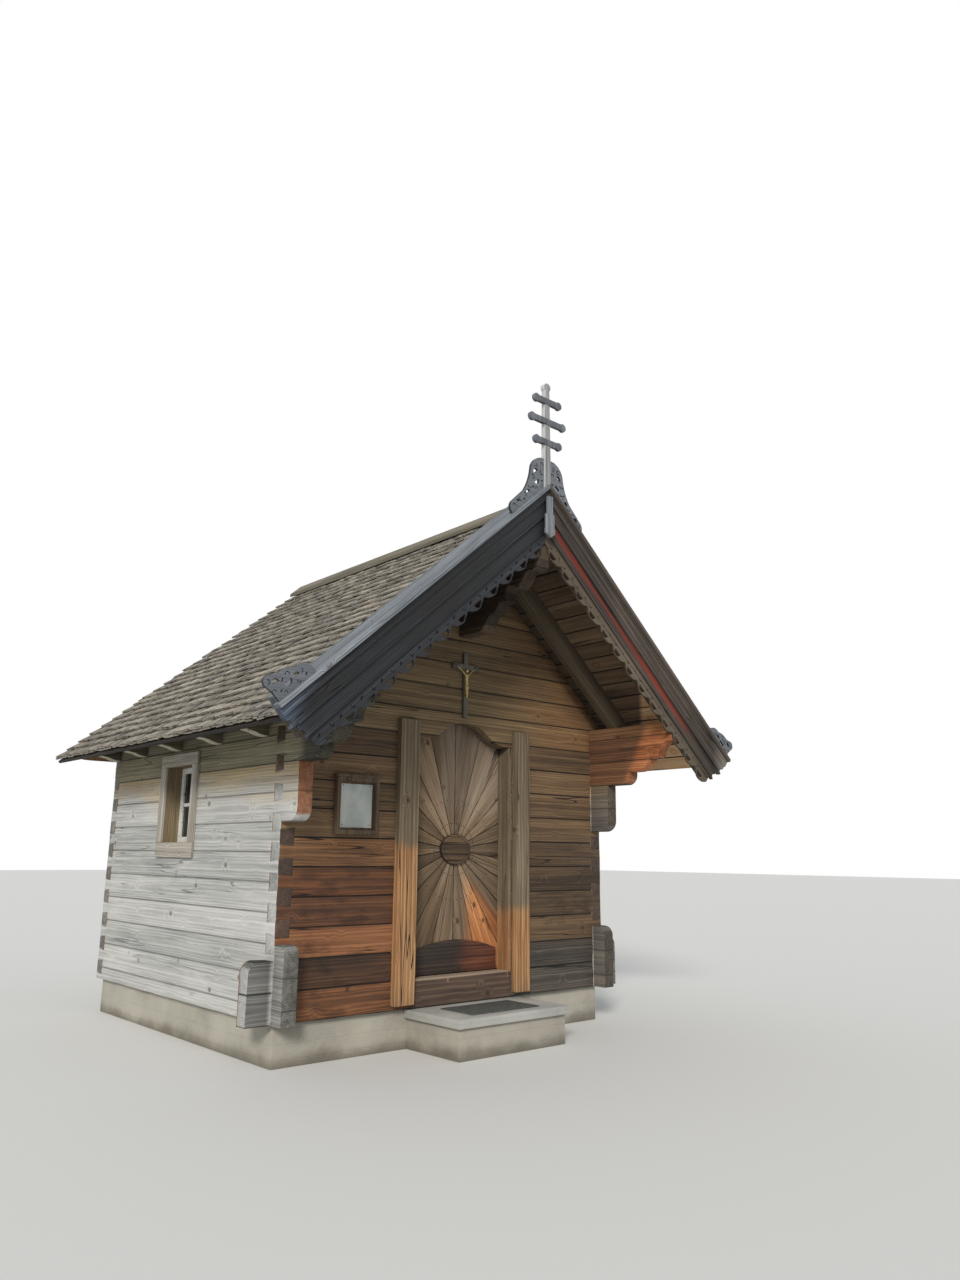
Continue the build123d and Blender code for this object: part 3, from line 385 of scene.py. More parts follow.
# Painted shade: dappled patches darken the front wall below about 1.2 m.
dappled_shade = logs.noise((2.2, 3, 5), 4, 0.6, logs.point).between(0.52, 0.66)
logs.darken(1 - dappled_shade * logs.z.between(1.3, 1.1) * 0.5)
right_of_door = logs.x > 0.2
low_right = (logs.z + (logs.blotch - 0.5) * 0.3).between(2.0, 0.5) * right_of_door
logs.darken(1 - low_right * 0.38)
damp = (logs.z + (logs.streak - 0.5) * 0.1).between(0.66, 0.6) * right_of_door
logs.age(damp * 0.85, ((36, 34, 31), (74, 70, 64), (118, 112, 102)))
silver_tones = ((142, 144, 144), (186, 188, 186), (212, 213, 210))
tail = abs(logs.x).between(half_width - 0.006, half_width - 0.001)
logs.age(tail * 0.9, ((44, 36, 26), (72, 60, 44), (104, 90, 68)))
logs.age(tail * logs.z.between(1.85, 1.6) * 0.92, silver_tones)
stump = abs(logs.x).between(half_width, half_width + 0.03) * (1 - logs.end)
logs.age(stump * 0.85, ((52, 50, 48), (96, 94, 90), (140, 138, 132)))
right_foot = logs.x.between(1.2, 1.3) * logs.y.between(front - 0.002, front - 0.006)
logs.age(right_foot * 0.85, ((50, 43, 36), (84, 73, 61), (118, 104, 88)))
room_tones = ((104, 72, 44), (156, 116, 76), (190, 152, 108))
logs.age(logs.y.between(front + wall_thick * 0.88, front + wall_thick * 0.94), room_tones)
front_larch = logs.done((56, 32, 20), end=0.12)
hewn("front_wall_left", ALONG_X, -1.5, -0.45, front_larch)
hewn("front_wall_right", ALONG_X, 0.5, 1.5, front_larch)

logs = Timber("rear_logs", GRAIN_X, ((88, 87, 85), (142, 140, 136), (182, 180, 174)), base, course,
              back - wall_thick / 2, joint=0.7, own_tone=0.15)
logs.age(logs.y.between(back - wall_thick * 0.88, back - wall_thick * 0.94), room_tones)
hewn("back_wall", ALONG_X, -1.5, 1.5, logs.done((70, 56, 46)))

SIDES = ((-1, "left"), (1, "right"))
stump_top = 1.2

for side, name in SIDES:
    logs = Timber(name + "_logs", GRAIN_Y, ((132, 112, 76), (190, 165, 118), (220, 199, 154)), base + course / 2,
                  course, side * (wall_thick / 2 - half_width), joint=0.55, own_tone=0.12, knots=0.75, cracks=0.7)
    rained = (logs.z + (logs.blotch - 0.5) * 0.5 + (logs.own - 0.5) * 0.3).between(1.98, 1.6)
    logs.age(rained * 0.94, silver_tones)
    # Painted shade: a darker olive band just under the eaves stands for the eaves' shadow.
    eave_shadow = (logs.z + (logs.blotch - 0.5) * 0.16).between(2.02, 2.12)
    logs.age(eave_shadow * 0.85, ((84, 77, 54), (128, 119, 88), (164, 154, 120)))
    inside = (logs.x * side).between(half_width - wall_thick * 0.8, half_width - wall_thick * 0.9)
    logs.age(inside * logs.y.between(front, front + 0.03), room_tones)
    log_head = logs.y.between(front - 0.004, front - 0.012)
    low = logs.z < stump_top
    if side < 0:
        log_head = log_head * low
        head_tones = ((72, 72, 70), (118, 118, 114), (166, 166, 160))
        end_tones = ((84, 50, 32), (146, 92, 60), (184, 130, 92))
        stump_tones = ((58, 56, 54), (104, 102, 98), (146, 144, 138))
    else:
        head_tones = ((48, 41, 34), (80, 69, 58), (114, 101, 86))
        end_tones = ((52, 44, 36), (84, 72, 60), (116, 102, 86))
        stump_tones = ((44, 39, 34), (76, 68, 59), (108, 98, 86))
    logs.age(log_head * 0.85, head_tones)
    # The front ends of the logs are dark end grain, made darker still with painted shade.
    shaded_end_grain = logs.toned(((34, 22, 16), (66, 44, 30), (104, 72, 50)))
    ends = logs.mix(logs.z > stump_top, shaded_end_grain, logs.toned(end_tones))
    ends = logs.mix(logs.y.between(front - 0.03, front - 0.05) * low, ends, logs.toned(stump_tones))
    ends = logs.mix(logs.y.between(front - 0.05, front - 0.02), ends, shaded_end_grain)
    logs.cover(logs.end * (logs.y < 0) * 0.95, ends)
    hewn(name + "_wall", ALONG_Y, -1.0, 1.9, logs.done((96, 88, 80), end=0.1))


# Gable: the same logs carried up to the roof, shorter at each course and cut to its slope, with the
# ogee of the door head sawn out of the lowest ones. It stays dry under the roof, so it is warm brown.

logs = Timber("gable_logs", GRAIN_X, ((70, 57, 40), (112, 93, 66), (146, 125, 94)), base, course,
              front + wall_thick / 2, joint=0.95, knots=0.5, own_tone=0.12, cracks=0.9)
reddish = (logs.x + (logs.blotch - 0.5) * 0.8).between(0.2, 1.3)
logs.age(reddish * 0.7, ((80, 53, 33), (128, 91, 57), (160, 121, 81)))
hewn("front_gable", ALONG_X, -1.5, 1.5, logs.done((70, 40, 24)))


# Plates and corbels: the top log of each side wall runs forward under the front of the roof, and its
# end is carved below in hollows and rounds. The right one is lit and orange, the left one greyer.

for side, name in SIDES:
    if side < 0:
        tones = ((78, 74, 58), (122, 117, 94), (158, 150, 124))
        shaded_tones = ((22, 22, 19), (44, 43, 36), (72, 70, 60))
    else:
        tones = ((110, 60, 34), (176, 108, 66), (208, 150, 104))
        shaded_tones = ((56, 39, 28), (92, 66, 46), (126, 96, 68))
    plate = Timber(name + "_plate_logs", GRAIN_Y, tones, base + course / 2, course,
                   side * (wall_thick / 2 - half_width), joint=0.8, own_tone=0.2)
    if side < 0:
        shaded = plate.y.between(front - 0.16, front - 0.28)
    else:
        shaded = (plate.y + (plate.z - 1.9) * 0.5).between(front - 0.46, front - 0.36)
    plate.age(shaded * 0.85, shaded_tones)
    hewn(name + "_plate", ALONG_Y, -1.9, 1.9, plate.done((64, 34, 20)))


# Eave brackets: short carved ends through the top log that carry the feet of the rafters. Their
# carved undersides are painted almost white, as painted sunlight.

stub = Timber("bracket_timber", GRAIN_X, ((48, 43, 34), (82, 75, 60), (116, 107, 88)))
# Painted light: faces turned downwards are painted pale, as if the sun caught them.
sunlit_underside = stub.facing[2].between(-0.3, -0.6)
stub.age(sunlit_underside * 0.9, ((128, 122, 104), (182, 176, 156), (208, 203, 186)))
stub_larch = stub.done()
for side, name in SIDES:
    worked("eave_brackets_" + name, "carved_eave_brackets_" + name, stub_larch, 0.004)


# Ridge beam and its bracket: the beam runs the length of the roof and out to the bargeboards, carried
# on carved log ends that step out of the gable.

# Dark tones: partly the larch's own colour, partly painted shade under the apex.
ridge_timber = Timber("ridge_timber", GRAIN_Y, ((40, 31, 23), (76, 61, 45), (112, 92, 70)), 2.2, course, 0.0,
                      joint=0.6)
ridge_larch = ridge_timber.done()
for node in ("ridge_beam", "ridge_bracket"):
    worked(node, node + "_larch", ridge_larch, 0.004, cuts=[(ALONG_Y, -1.9, 1.5, 0.15)],
           uneven=(0.005, 0.3))


# Rafters: sawn timbers down each slope; the outermost pair stands right behind the bargeboards, and
# the next one shows under the roof in front of the gable.

pitch_angle = math.radians(41.24)
GRAIN_SLOPE, GRAIN_BOARDS = {}, {}


def slope_ways(side):
    """The ways down one slope of the roof and square out of it."""
    sine, cosine = math.sin(pitch_angle), math.cos(pitch_angle)
    return Vector((side * cosine, 0, -sine)), Vector((side * sine, 0, cosine))


for side, name in SIDES:
    down, out = slope_ways(side)
    GRAIN_SLOPE[side], GRAIN_BOARDS[side] = laid(down, ALONG_Y), laid(ALONG_Y, out)
    spar = Timber("rafter_timber_" + name, GRAIN_SLOPE[side], ((48, 41, 32), (80, 69, 53), (112, 99, 79)))
    worked("rafters_" + name, "sawn_rafters_" + name, spar.done(), 0.004)


# Roof boards: planed boards laid along the roof, edge to edge on the rafters; their undersides make
# the ceiling over the door, with painted shade towards the gable and the eaves and painted light at the right.

eave_half = 1.99
ridge_top = 3.7872
slope_length = eave_half / math.cos(pitch_angle)
shingle_thick = 0.05
board_thick = 0.025
barge_back = -1.8705
back_eave = 1.9465
ridge_end = 1.4735
board_dice = random.Random(12)


def on_slope(side, apex):
    """Sets work down one slope: x down from the apex, y along the roof, z out of it."""
    down, out = slope_ways(side)
    return Matrix(((down.x, 0, out.x, 0), (0, 1, 0, 0), (down.z, 0, out.z, apex), (0, 0, 0, 1)))


def plank(low, high, edge=0.003, cuts=3):
    """A sawn board between two corners, cut across a few times and eased at its edges."""
    bpy.ops.mesh.primitive_cube_add(size=1, location=(0, 0, 0))
    board = bpy.context.object
    size = Vector(high) - Vector(low)
    long = max(range(3), key=lambda k: size[k])
    with all_of(board):
        bpy.ops.transform.resize(value=size)
        bpy.ops.transform.translate(value=(Vector(low) + Vector(high)) / 2)
        for k in range(cuts):
            place = Vector(low)
            place[long] += size[long] * (k + 1) / (cuts + 1)
            bpy.ops.mesh.select_all(action="SELECT")
            bpy.ops.mesh.bisect(plane_co=place, plane_no=(ALONG_X, ALONG_Y, ALONG_Z)[long])
    worn_edges(board, edge, 1)
    return board


def joined(pieces, name):
    """One piece out of several that are nailed up as one."""
    bpy.ops.object.select_all(action="DESELECT")
    for piece in pieces:
        piece.select_set(True)
    bpy.context.view_layer.objects.active = pieces[0]
    bpy.ops.object.join()
    pieces[0].name = name
    return pieces[0]


def outward(piece):
    """Turns every face of a finished piece outwards."""
    with all_of(piece):
        bpy.ops.mesh.normals_make_consistent(inside=False)


def saw_off(piece, at, normal):
    """Takes away all that stands beyond a plane."""
    with all_of(piece):
        bpy.ops.mesh.bisect(plane_co=at, plane_no=normal, use_fill=True, clear_outer=True)


def past_hip(side):
    """Square to the hip of one slope, towards the back."""
    return Vector((-side * (back_eave - ridge_end), eave_half, 0)).normalized()


def fit_to_hips(piece):
    """Saws off the back of the roof along both hips."""
    for side in (-1, 1):
        saw_off(piece, (0, ridge_end, 0), -past_hip(side))
    outward(piece)


slope_boards = 19
board_width = slope_length / slope_boards
board_gap = 0.003
underside = -shingle_thick - board_thick + 0.001
for side, name in SIDES:
    boards = []
    for k in range(slope_boards):
        start = k * board_width + (0.03 if k == 0 else 0)
        board = plank((start, barge_back, underside + board_dice.uniform(0, 0.003)),
                      ((k + 1) * board_width - board_gap, back_eave, -shingle_thick), 0.004, 2)
        board.data.transform(on_slope(side, ridge_top))
        boards.append(board)
    soffit = joined(boards, "soffit_boards_" + name)
    saw_off(soffit, (0, ridge_end, 0), past_hip(side))
    outward(soffit)
    turned = Timber("soffit_larch_" + name, GRAIN_BOARDS[side], ((54, 42, 31), (90, 72, 53), (122, 101, 76)),
                    start=-side * ridge_top * math.sin(pitch_angle), pitch=board_width, knots=0.4, own_tone=0.16,
                    joint=0.9)
    lit = (turned.y - (turned.x - 1.06) * 0.8).between(-1.82, -1.88) * (turned.x > 0)
    turned.age(lit * 0.9, ((146, 106, 72), (206, 164, 120), (236, 204, 164)))
    # Painted shade: near the gable and along the eave edges, away from the painted light, the boards are painted
    # near black.
    soffit_shade = (turned.y + turned.streak * 0.2).between(front - 0.1, front + 0.15)
    soffit_shade = soffit_shade.or_more(abs(turned.x).between(eave_half - 0.08, eave_half - 0.03) * (1 - lit))
    turned.age(soffit_shade * 0.92, ((24, 20, 17), (46, 39, 32), (74, 64, 53)))
    fit(soffit, turned.done(), ["roof_boards_" + name])

hip_run = back_eave - ridge_end
hip_fall = eave_half * math.tan(pitch_angle)
down = Vector((0, hip_run, -hip_fall)).normalized()
out = Vector((0, hip_fall, hip_run)).normalized()
on_back = Matrix(((0, -1, 0, 0), (down.y, 0, out.y, ridge_end), (down.z, 0, out.z, ridge_top), (0, 0, 0, 1)))
back_length = math.hypot(hip_run, hip_fall)
back_boards = 13
board_width = back_length / back_boards
boards = []
for k in range(back_boards):
    board = plank((k * board_width, -eave_half, underside),
                  ((k + 1) * board_width - board_gap, eave_half, -shingle_thick), 0.004, 2)
    board.data.transform(on_back)
    boards.append(board)
soffit = joined(boards, "soffit_boards_back")
fit_to_hips(soffit)
back_soffit = Timber("soffit_larch_back", GRAIN_X, ((72, 50, 34), (118, 86, 58), (156, 120, 86)), own_tone=0.2)
fit(soffit, back_soffit.done(), ["roof_boards_back"])


# Shingles: split larch shingles in rows, each row lapping the one below, grey from the weather, with
# dark gaps and worn butts, painted shadow under each butt and painted light on the butt ends. They
# are cut along the hips at the back.

shingle_dice = random.Random(7)
shingle_rows = 25
exposure = slope_length / shingle_rows


def one_shingle():
    """One split shingle, butt at x = 0 and head at x = -0.2, its upper face at z = 0 at the butt."""
    bpy.ops.mesh.primitive_cube_add(size=1, location=(0, 0, 0))
    shingle = bpy.context.object
    with all_of(shingle):
        bpy.ops.transform.resize(value=(0.2, 1.0, 0.016))
        bpy.ops.transform.translate(value=(-0.1, 0, -0.008))
    for corner in shingle.data.vertices:
        if corner.co.x < -0.1:
            corner.co.z = corner.co.z * 0.5 - 0.03
    modify(shingle, "BEVEL", width=0.003, segments=1)
    shingle.data.attributes.new("tone", "FLOAT", "FACE")
    return shingle


def lay_shingles(pattern, length, rows, y_low, y_high, place, name):
    laid_shingles = []
    for row in range(rows + 1):
        butt = min((row + 1) * (length / rows), length)
        y = y_low - shingle_dice.uniform(0, 0.06)
        while y < y_high:
            width = shingle_dice.uniform(0.06, 0.115)
            shingle = pattern.copy()
            shingle.data = pattern.data.copy()
            tone = shingle_dice.random()
            for value in shingle.data.attributes["tone"].data:
                value.value = tone
            sink = 0.0155 if row == rows else 0.0
            slip = shingle_dice.uniform(-0.016, 0.0)
            turn = Matrix.Rotation(shingle_dice.uniform(-0.03, 0.03), 4, "Z")
            turn = turn @ Matrix.Rotation(shingle_dice.uniform(-0.06, 0.06), 4, "X")
            lift = -shingle_dice.uniform(0.0, 0.008) - sink
            shape = Matrix.Diagonal((1, width - 0.004, 1, 1))
            shingle.data.transform(place @ Matrix.Translation((butt + slip, y + width / 2, lift)) @ turn @ shape)
            bpy.context.collection.objects.link(shingle)
            laid_shingles.append(shingle)
            y += width
    return joined(laid_shingles, name)


def shingle_finish(name, turn, fall):
    """Split larch, grey on top; each course is dirty and dark with painted shadow where the one above it ends, and
    its butt end is painted light.
    """
    wood = Timber("shingle_larch_" + name, turn, ((80, 76, 70), (138, 132, 122), (190, 184, 173)), knots=0.0,
                  cracks=0.9)
    own = wood.node("ShaderNodeAttribute", {"attribute_name": "tone"}, {}, "Fac")
    wood.darken(own * 0.7 + 0.6)
    wood.cover(own.between(0.75, 1.0) * 0.4, tint(158, 140, 112))
    lap = ((wood.run + fall) / exposure + own * 0.12).fraction()
    # Dirt and painted shadow: each course is darkened just below the butt of the one above.
    dirt_and_shadow = lap.between(0.32, 0.12) + lap.between(0.97, 1.0)
    wood.darken(1 - dirt_and_shadow * 0.8)
    # Painted light: the butt ends are painted pale, as if the sun caught them.
    wood.cover(wood.end * 0.55, tint(188, 180, 164))
    return wood.done(rough=0.9, end=0.0)


pattern = one_shingle()
for side, name in SIDES:
    roof = lay_shingles(pattern, slope_length, shingle_rows, barge_back, back_eave, on_slope(side, ridge_top),
                        "shingle_slope_" + name)
    saw_off(roof, (0, ridge_end, 0), past_hip(side))
    saw_off(roof, (0, barge_back, 0), (0, -1, 0))
    saw_off(roof, (0, 0, 0), (-side, 0, 0))
    outward(roof)
    fit(roof, shingle_finish(name, GRAIN_SLOPE[side], ridge_top * math.sin(pitch_angle)),
        ["shingles_" + name])

roof = lay_shingles(pattern, back_length, round(back_length / exposure), -eave_half, eave_half, on_back,
                    "shingle_slope_back")
fit_to_hips(roof)
fit(roof, shingle_finish("back", laid(down, ALONG_X), -Vector((0, ridge_end, ridge_top)).dot(down)),
    ["shingles_back"])
bpy.data.objects.remove(pattern)


# Ridge cap: two long boards nailed over the last row of shingles on each side. They lie a little
# unevenly and have weathered to a grey brown.

cap_wood = Timber("cap_larch", GRAIN_Y, ((64, 60, 50), (104, 99, 84), (142, 136, 118)), knots=0.3)
worked("ridge_cap", "ridge_cap_boards", cap_wood.done(rough=0.88), cuts=[(ALONG_Y, -1.7, 1.5, 0.2)],
       uneven=(0.006, 0.25))


# Verge planks and bargeboards: along each edge of the front roof a wide plank covers the shingles, and
# below it a moulded board and a lower board hang in layers, nailed one on the other. The left ones are
# dark blue-grey from old paint and weather, made near black with painted shade; the right ones
# brown-grey, with a red band left from paint.

cover_top = 0.063
cover_reach = 0.089
roof_front = front - 0.928
barge_thick = 0.036
moulded_depth = 0.165
lower_depth = 0.095
verge_apex = ridge_top + cover_top / math.cos(pitch_angle)
barge_face = roof_front + barge_thick
verge_length = slope_length + cover_reach / math.cos(pitch_angle)


def studs(name, places, direction, radius, material, body="chapel"):
    """Forged nail heads, eight-sided and domed, driven in at the places given."""
    bpy.ops.mesh.primitive_cylinder_add(vertices=8, radius=radius, depth=radius, location=(0, 0, 0))
    head = bpy.context.object
    worn_edges(head, radius * 0.4, 1, 30)
    turn = Vector(direction).to_track_quat("Z", "Y").to_matrix().to_4x4()
    heads = []
    for place in places:
        nail = head.copy()
        nail.data = head.data.copy()
        nail.data.transform(Matrix.Translation(place) @ turn)
        bpy.context.collection.objects.link(nail)
        heads.append(nail)
    bpy.data.objects.remove(head)
    fit(joined(heads, name), material, (), body)


rust = Finish("nail_iron")
bloom = rust.noise((90, 90, 90), 4)
nail_iron = rust.close(rust.ramp(bloom, (0.3, (38, 32, 30)), (0.6, (72, 56, 48)), (0.8, (112, 78, 58))), bloom, 0.6,
                       0.001, 0.5, 0.6)


def verge_place(side, along, depth, y):
    return tuple(on_slope(side, verge_apex) @ Vector((along, y, -depth)))


for side, name in SIDES:
    turn = GRAIN_SLOPE[side]
    if side < 0:
        cover_tones = ((50, 54, 60), (102, 108, 115), (164, 170, 176))
        # Left bargeboards: dark blue-grey wood made near black with painted shade.
        tones = ((4, 5, 6), (10, 12, 15), (44, 50, 58))
        foot_tones = ((58, 68, 86), (92, 106, 128), (150, 162, 178))
    else:
        cover_tones = ((46, 40, 35), (80, 71, 63), (116, 105, 94))
        tones = ((16, 13, 11), (46, 39, 33), (104, 93, 81))
        foot_tones = ((92, 86, 78), (140, 132, 122), (186, 178, 168))
    worked("verge_plank_" + name, "verge_cover_" + name,
           Timber("verge_larch_" + name, turn, cover_tones, cracks=1.3).done((96, 92, 88)), 0.004)

    for node, light_left in (("bargeboard_", 1.0), ("lower_board_", 0.86)):
        wood = Timber(node + "wood_" + name, turn, tones, cracks=1.3, knots=0.3)
        if side > 0 and node == "lower_board_":
            down_slope = wood.run + verge_apex * math.sin(pitch_angle)
            depth = verge_apex * math.cos(pitch_angle) - wood.up
            left_over = (wood.streak * 1.3 + wood.blotch * 0.3 - down_slope * 0.13).between(0.5, 0.72)
            left_over = left_over * (depth + wood.streak * 0.03).between(0.25, 0.225)
            red = wood.mix(wood.streak.between(0.3, 0.7), tint(60, 22, 16), tint(138, 50, 34))
            wood.cover(left_over * 0.9, red)
        foot = (abs(wood.x) + (wood.blotch - 0.5) * 0.3).between(1.85, 2.05)
        wood.age(foot * 0.6, foot_tones)
        wood.darken(light_left)
        worked(node + name, "moulded_" + node + name, wood.done((30, 26, 24), rough=0.7))

    places = []
    for k in range(7):
        along = 0.3 + k * 0.38
        for step, depth, proud in ((0, 0.05, 0.0125), (0, 0.11, 0.0005), (0.06, 0.135, 0.0005)):
            places.append(verge_place(side, along + step, depth, barge_face - proud))
    studs("verge_nails_" + name, places, (0, -1, 0), 0.005, nail_iron)


# Lace boards: thin boards under the bargeboards, their lower edge sawn to hooked and pierced lobes, with
# a slim leaf and a hooked curl sawn through the board above each of them.

def sawn_holes(board, cutters):
    """Takes the shapes of the cutters out of a board."""
    cutter = joined(cutters, "cutter")
    outward(cutter)
    modify(board, "BOOLEAN", operation="DIFFERENCE", object=cutter, solver="EXACT", use_self=True)
    bpy.data.objects.remove(cutter)


def moved(piece, *steps):
    """Stretches, turns and shifts a piece, one step after the other."""
    for step in steps:
        piece.data.transform(step)
    return piece


def leaf_cutter(side, along, depth, y, length, turn):
    """A slim leaf with two points, standing through a board on the verge."""
    bpy.ops.mesh.primitive_cylinder_add(vertices=10, radius=1.0, depth=0.06, location=(0, 0, 0))
    return moved(bpy.context.object, Matrix.Rotation(math.pi / 2, 4, "X"),
                 Matrix.Diagonal((length, 1, length * 0.42, 1)), Matrix.Rotation(turn, 4, "Y"),
                 Matrix.Translation((along, y, -depth)), on_slope(side, verge_apex))


def hook_cutter(side, along, depth, y, radius, turn):
    """A hooked curl with a round drop at its end, standing through a board on the verge."""
    bpy.ops.mesh.primitive_torus_add(major_segments=16, minor_segments=6, major_radius=1.0, minor_radius=0.24)
    curl = bpy.context.object
    saw_off(curl, (0, 0, 0), (0, -1, 0))
    moved(curl, Matrix.Diagonal((radius, radius, 0.2, 1)))
    bpy.ops.mesh.primitive_cylinder_add(vertices=10, radius=radius * 0.36, depth=0.08, location=(0, 0, 0))
    drop = moved(bpy.context.object, Matrix.Translation((radius * 0.9, radius * 0.05, 0)))
    return moved(joined([curl, drop], "hook"), Matrix.Rotation(math.pi / 2, 4, "X"), Matrix.Rotation(turn, 4, "Y"),
                 Matrix.Translation((along, y, -depth)), on_slope(side, verge_apex))


lobes = 13
fret_top = moulded_depth + lower_depth
fret_depth = 0.105
fret_end = verge_length - 0.08
fret_lobe = (fret_end - (fret_top + fret_depth) * math.tan(pitch_angle)) / lobes
for side, name in SIDES:
    lace = blank("fretwork_" + name, "lace_board_" + name)
    cutters = []
    for k in range(lobes):
        start = fret_end - (k + 0.58) * fret_lobe
        cutters.append(leaf_cutter(side, start + fret_lobe * 0.3, fret_top + 0.036, barge_face + 0.03, 0.016, 0.5))
        cutters.append(hook_cutter(side, start - fret_lobe * 0.3, fret_top + 0.036, barge_face + 0.03, 0.013, 2.4))
    sawn_holes(lace, cutters)
    worn_edges(lace, 0.0015, 1)
    # The left lace board is painted near black: its dark grey wood with painted shade.
    tones = ((12, 13, 16), (26, 28, 33), (56, 60, 68)) if side < 0 else ((46, 39, 32), (84, 73, 60), (120, 108, 92))
    wood = Timber("lace_wood_" + name, GRAIN_SLOPE[side], tones, knots=0.0)
    fit(lace, wood.done(rough=0.75), ["fretwork_" + name])


# Ornaments: pierced scroll boards that stand on the verge at both eaves and at the ridge, in thin grey
# painted wood; between the two at the ridge stands the cross, pale and bare, with dark bars.

scroll = Timber("scroll_wood", (0, 0, 0), ((66, 71, 78), (102, 107, 114), (144, 149, 154)), knots=0.0, cracks=0.4)
scroll.cover(0.5, tint(104, 109, 116))
# Painted shade: the sawn walls of the piercings and the edges are painted near black.
shade_on_sawn_sides = abs(scroll.facing[1]).between(0.7, 0.3)
scroll.cover(shade_on_sawn_sides * 0.8, tint(26, 28, 32))
scroll_grey = scroll.done()
ear_foot = verge_length - 0.031
ear_hooks = ((0.004, 0.058, 0.013, 0.4), (0.004, 0.124, 0.013, 2.4), (0.078, 0.094, 0.015, 3.6),
             (0.13, 0.092, 0.014, 0.8), (0.215, 0.06, 0.012, 2.8), (0.064, 0.018, 0.009, 1.2),
             (0.172, 0.022, 0.011, 4.2))
crest_hooks = ((-0.05, 0.14, 0.017, 1.0), (0.004, 0.172, 0.015, 3.4), (-0.012, 0.096, 0.016, 5.0),
               (0.094, 0.118, 0.017, 2.2), (0.118, 0.03, 0.014, 0.6), (0.166, 0.074, 0.015, 4.0),
               (0.25, 0.05, 0.014, 2.0), (0.31, 0.044, 0.014, 5.2), (0.396, 0.036, 0.014, 0.9),
               (0.06, 0.028, 0.013, 3.0))
for node, name, foot, way, hooks in (("eave_ornaments", "eave_scrolls", ear_foot, -1, ear_hooks),
                                     ("crest", "ridge_scrolls", 0.0, 1, crest_hooks)):
    board = blank(node, name)
    sawn_holes(board, [hook_cutter(side, foot + way * along, -up, barge_face + 0.01, radius, turn * side)
                       for side in (-1, 1) for along, up, radius, turn in hooks])
    worn_edges(board, 0.0012, 1)
    fit(board, scroll_grey, [node])

bare = Timber("cross_wood", GRAIN_Z, ((150, 151, 152), (200, 201, 200), (228, 227, 222)), knots=0.0)
on_bar = bare.y.between(barge_face - 0.009, barge_face - 0.0105)
on_bar = on_bar.or_more(abs(bare.x).between(0.034, 0.04))
bare.age(on_bar * 0.85, ((34, 38, 45), (66, 73, 83), (108, 116, 124)))
worked("ridge_cross", "three_bar_cross", bare.done())
pendant = Timber("pendant_wood", GRAIN_Z, ((72, 76, 82), (114, 119, 125), (162, 166, 168)), knots=0.0)
worked("apex_pendant", "notched_pendant", pendant.done())


# Door posts and threshold: two thick sawn posts, deeply cracked, nailed over the ends of the wall logs,
# each with a jamb board along its inner edge. They are grey-brown, painted yellow-brown below a slanting
# line as painted sunlight. A log lies across their feet as the threshold, with painted light along its
# upper edge.

door_x = 0.03
door_half = 0.433
posts = Timber("post_larch", GRAIN_Z, ((66, 56, 44), (112, 98, 78), (150, 136, 112)), knots=0.4, cracks=1.8)
# Painted sunlight: below a slanting line the posts are painted lit yellow-brown.
lit_height = posts.x.between(door_x - 0.1, door_x + 0.1, 1.33, 0.88) + (posts.streak - 0.5) * 0.12
in_sun = (posts.z - lit_height).between(0.05, -0.05)
posts.age(in_sun * 0.92, ((92, 60, 36), (162, 117, 75), (210, 171, 124)))
damp_foot = (posts.z + posts.streak * 0.3).between(0.62, 0.4)
posts.age(damp_foot * 0.5, ((70, 54, 38), (120, 98, 72), (166, 140, 108)))
worked("door_posts", "sawn_posts", posts.done(), 0.007, 3,
       cuts=[(ALONG_Z, 0.25, 2.25, 0.1)], uneven=(0.005, 0.25))

sill = Timber("threshold_larch", GRAIN_X, ((40, 32, 27), (78, 62, 52), (118, 96, 80)), cracks=1.4)
# Painted light along the upper edge of the threshold.
lit_top = (sill.z + sill.streak * 0.02).between(0.442, 0.452)
chipped = sill.noise((14, 2, 3), at=sill.point).between(0.66, 0.7)
sill.cover(lit_top * 0.85, tint(172, 154, 134))
sill.cover(chipped * 0.7, tint(176, 128, 104))
worked("threshold", "threshold_log", sill.done(), 0.006, 3,
       cuts=[(ALONG_X, -0.5, 0.6, 0.1)], uneven=(0.005, 0.2))


# Door: tapered boards that run out from a disc like the rays of a sun, nailed on upright boards, with a
# dark kickboard at the foot. It opens inwards on two iron straps.

disc_z = base + 1.053
leaf_front = front + 0.125
ray_count = 22
ray_angle = 2 * math.pi / ray_count


def door_slab(name, y_low, y_high):
    """The outline of the door between two depths, taken from the whole leaf."""
    slab = blank("door_leaf", name)
    saw_off(slab, (0, y_high, 0), (0, 1, 0))
    saw_off(slab, (0, y_low, 0), (0, -1, 0))
    return slab


core = door_slab("ray_core", leaf_front + 0.006, leaf_front + 0.026)
core.data.transform(Matrix.Translation((0, -0.006, 0)))
rays = []
for k in range(ray_count):
    ray = core.copy()
    ray.data = core.data.copy()
    bpy.context.collection.objects.link(ray)
    for way in (-1, 1):
        edge = k * ray_angle + way * ray_angle / 2
        normal = Vector((-math.sin(edge), 0, math.cos(edge))) * way
        at = Vector((door_x, 0, disc_z)) - normal * 0.002
        saw_off(ray, at, normal)
    worn_edges(ray, 0.0035, 2)
    rays.append(ray)
bpy.data.objects.remove(core)
sun_boards = joined(rays, "sunburst_boards")
outward(sun_boards)


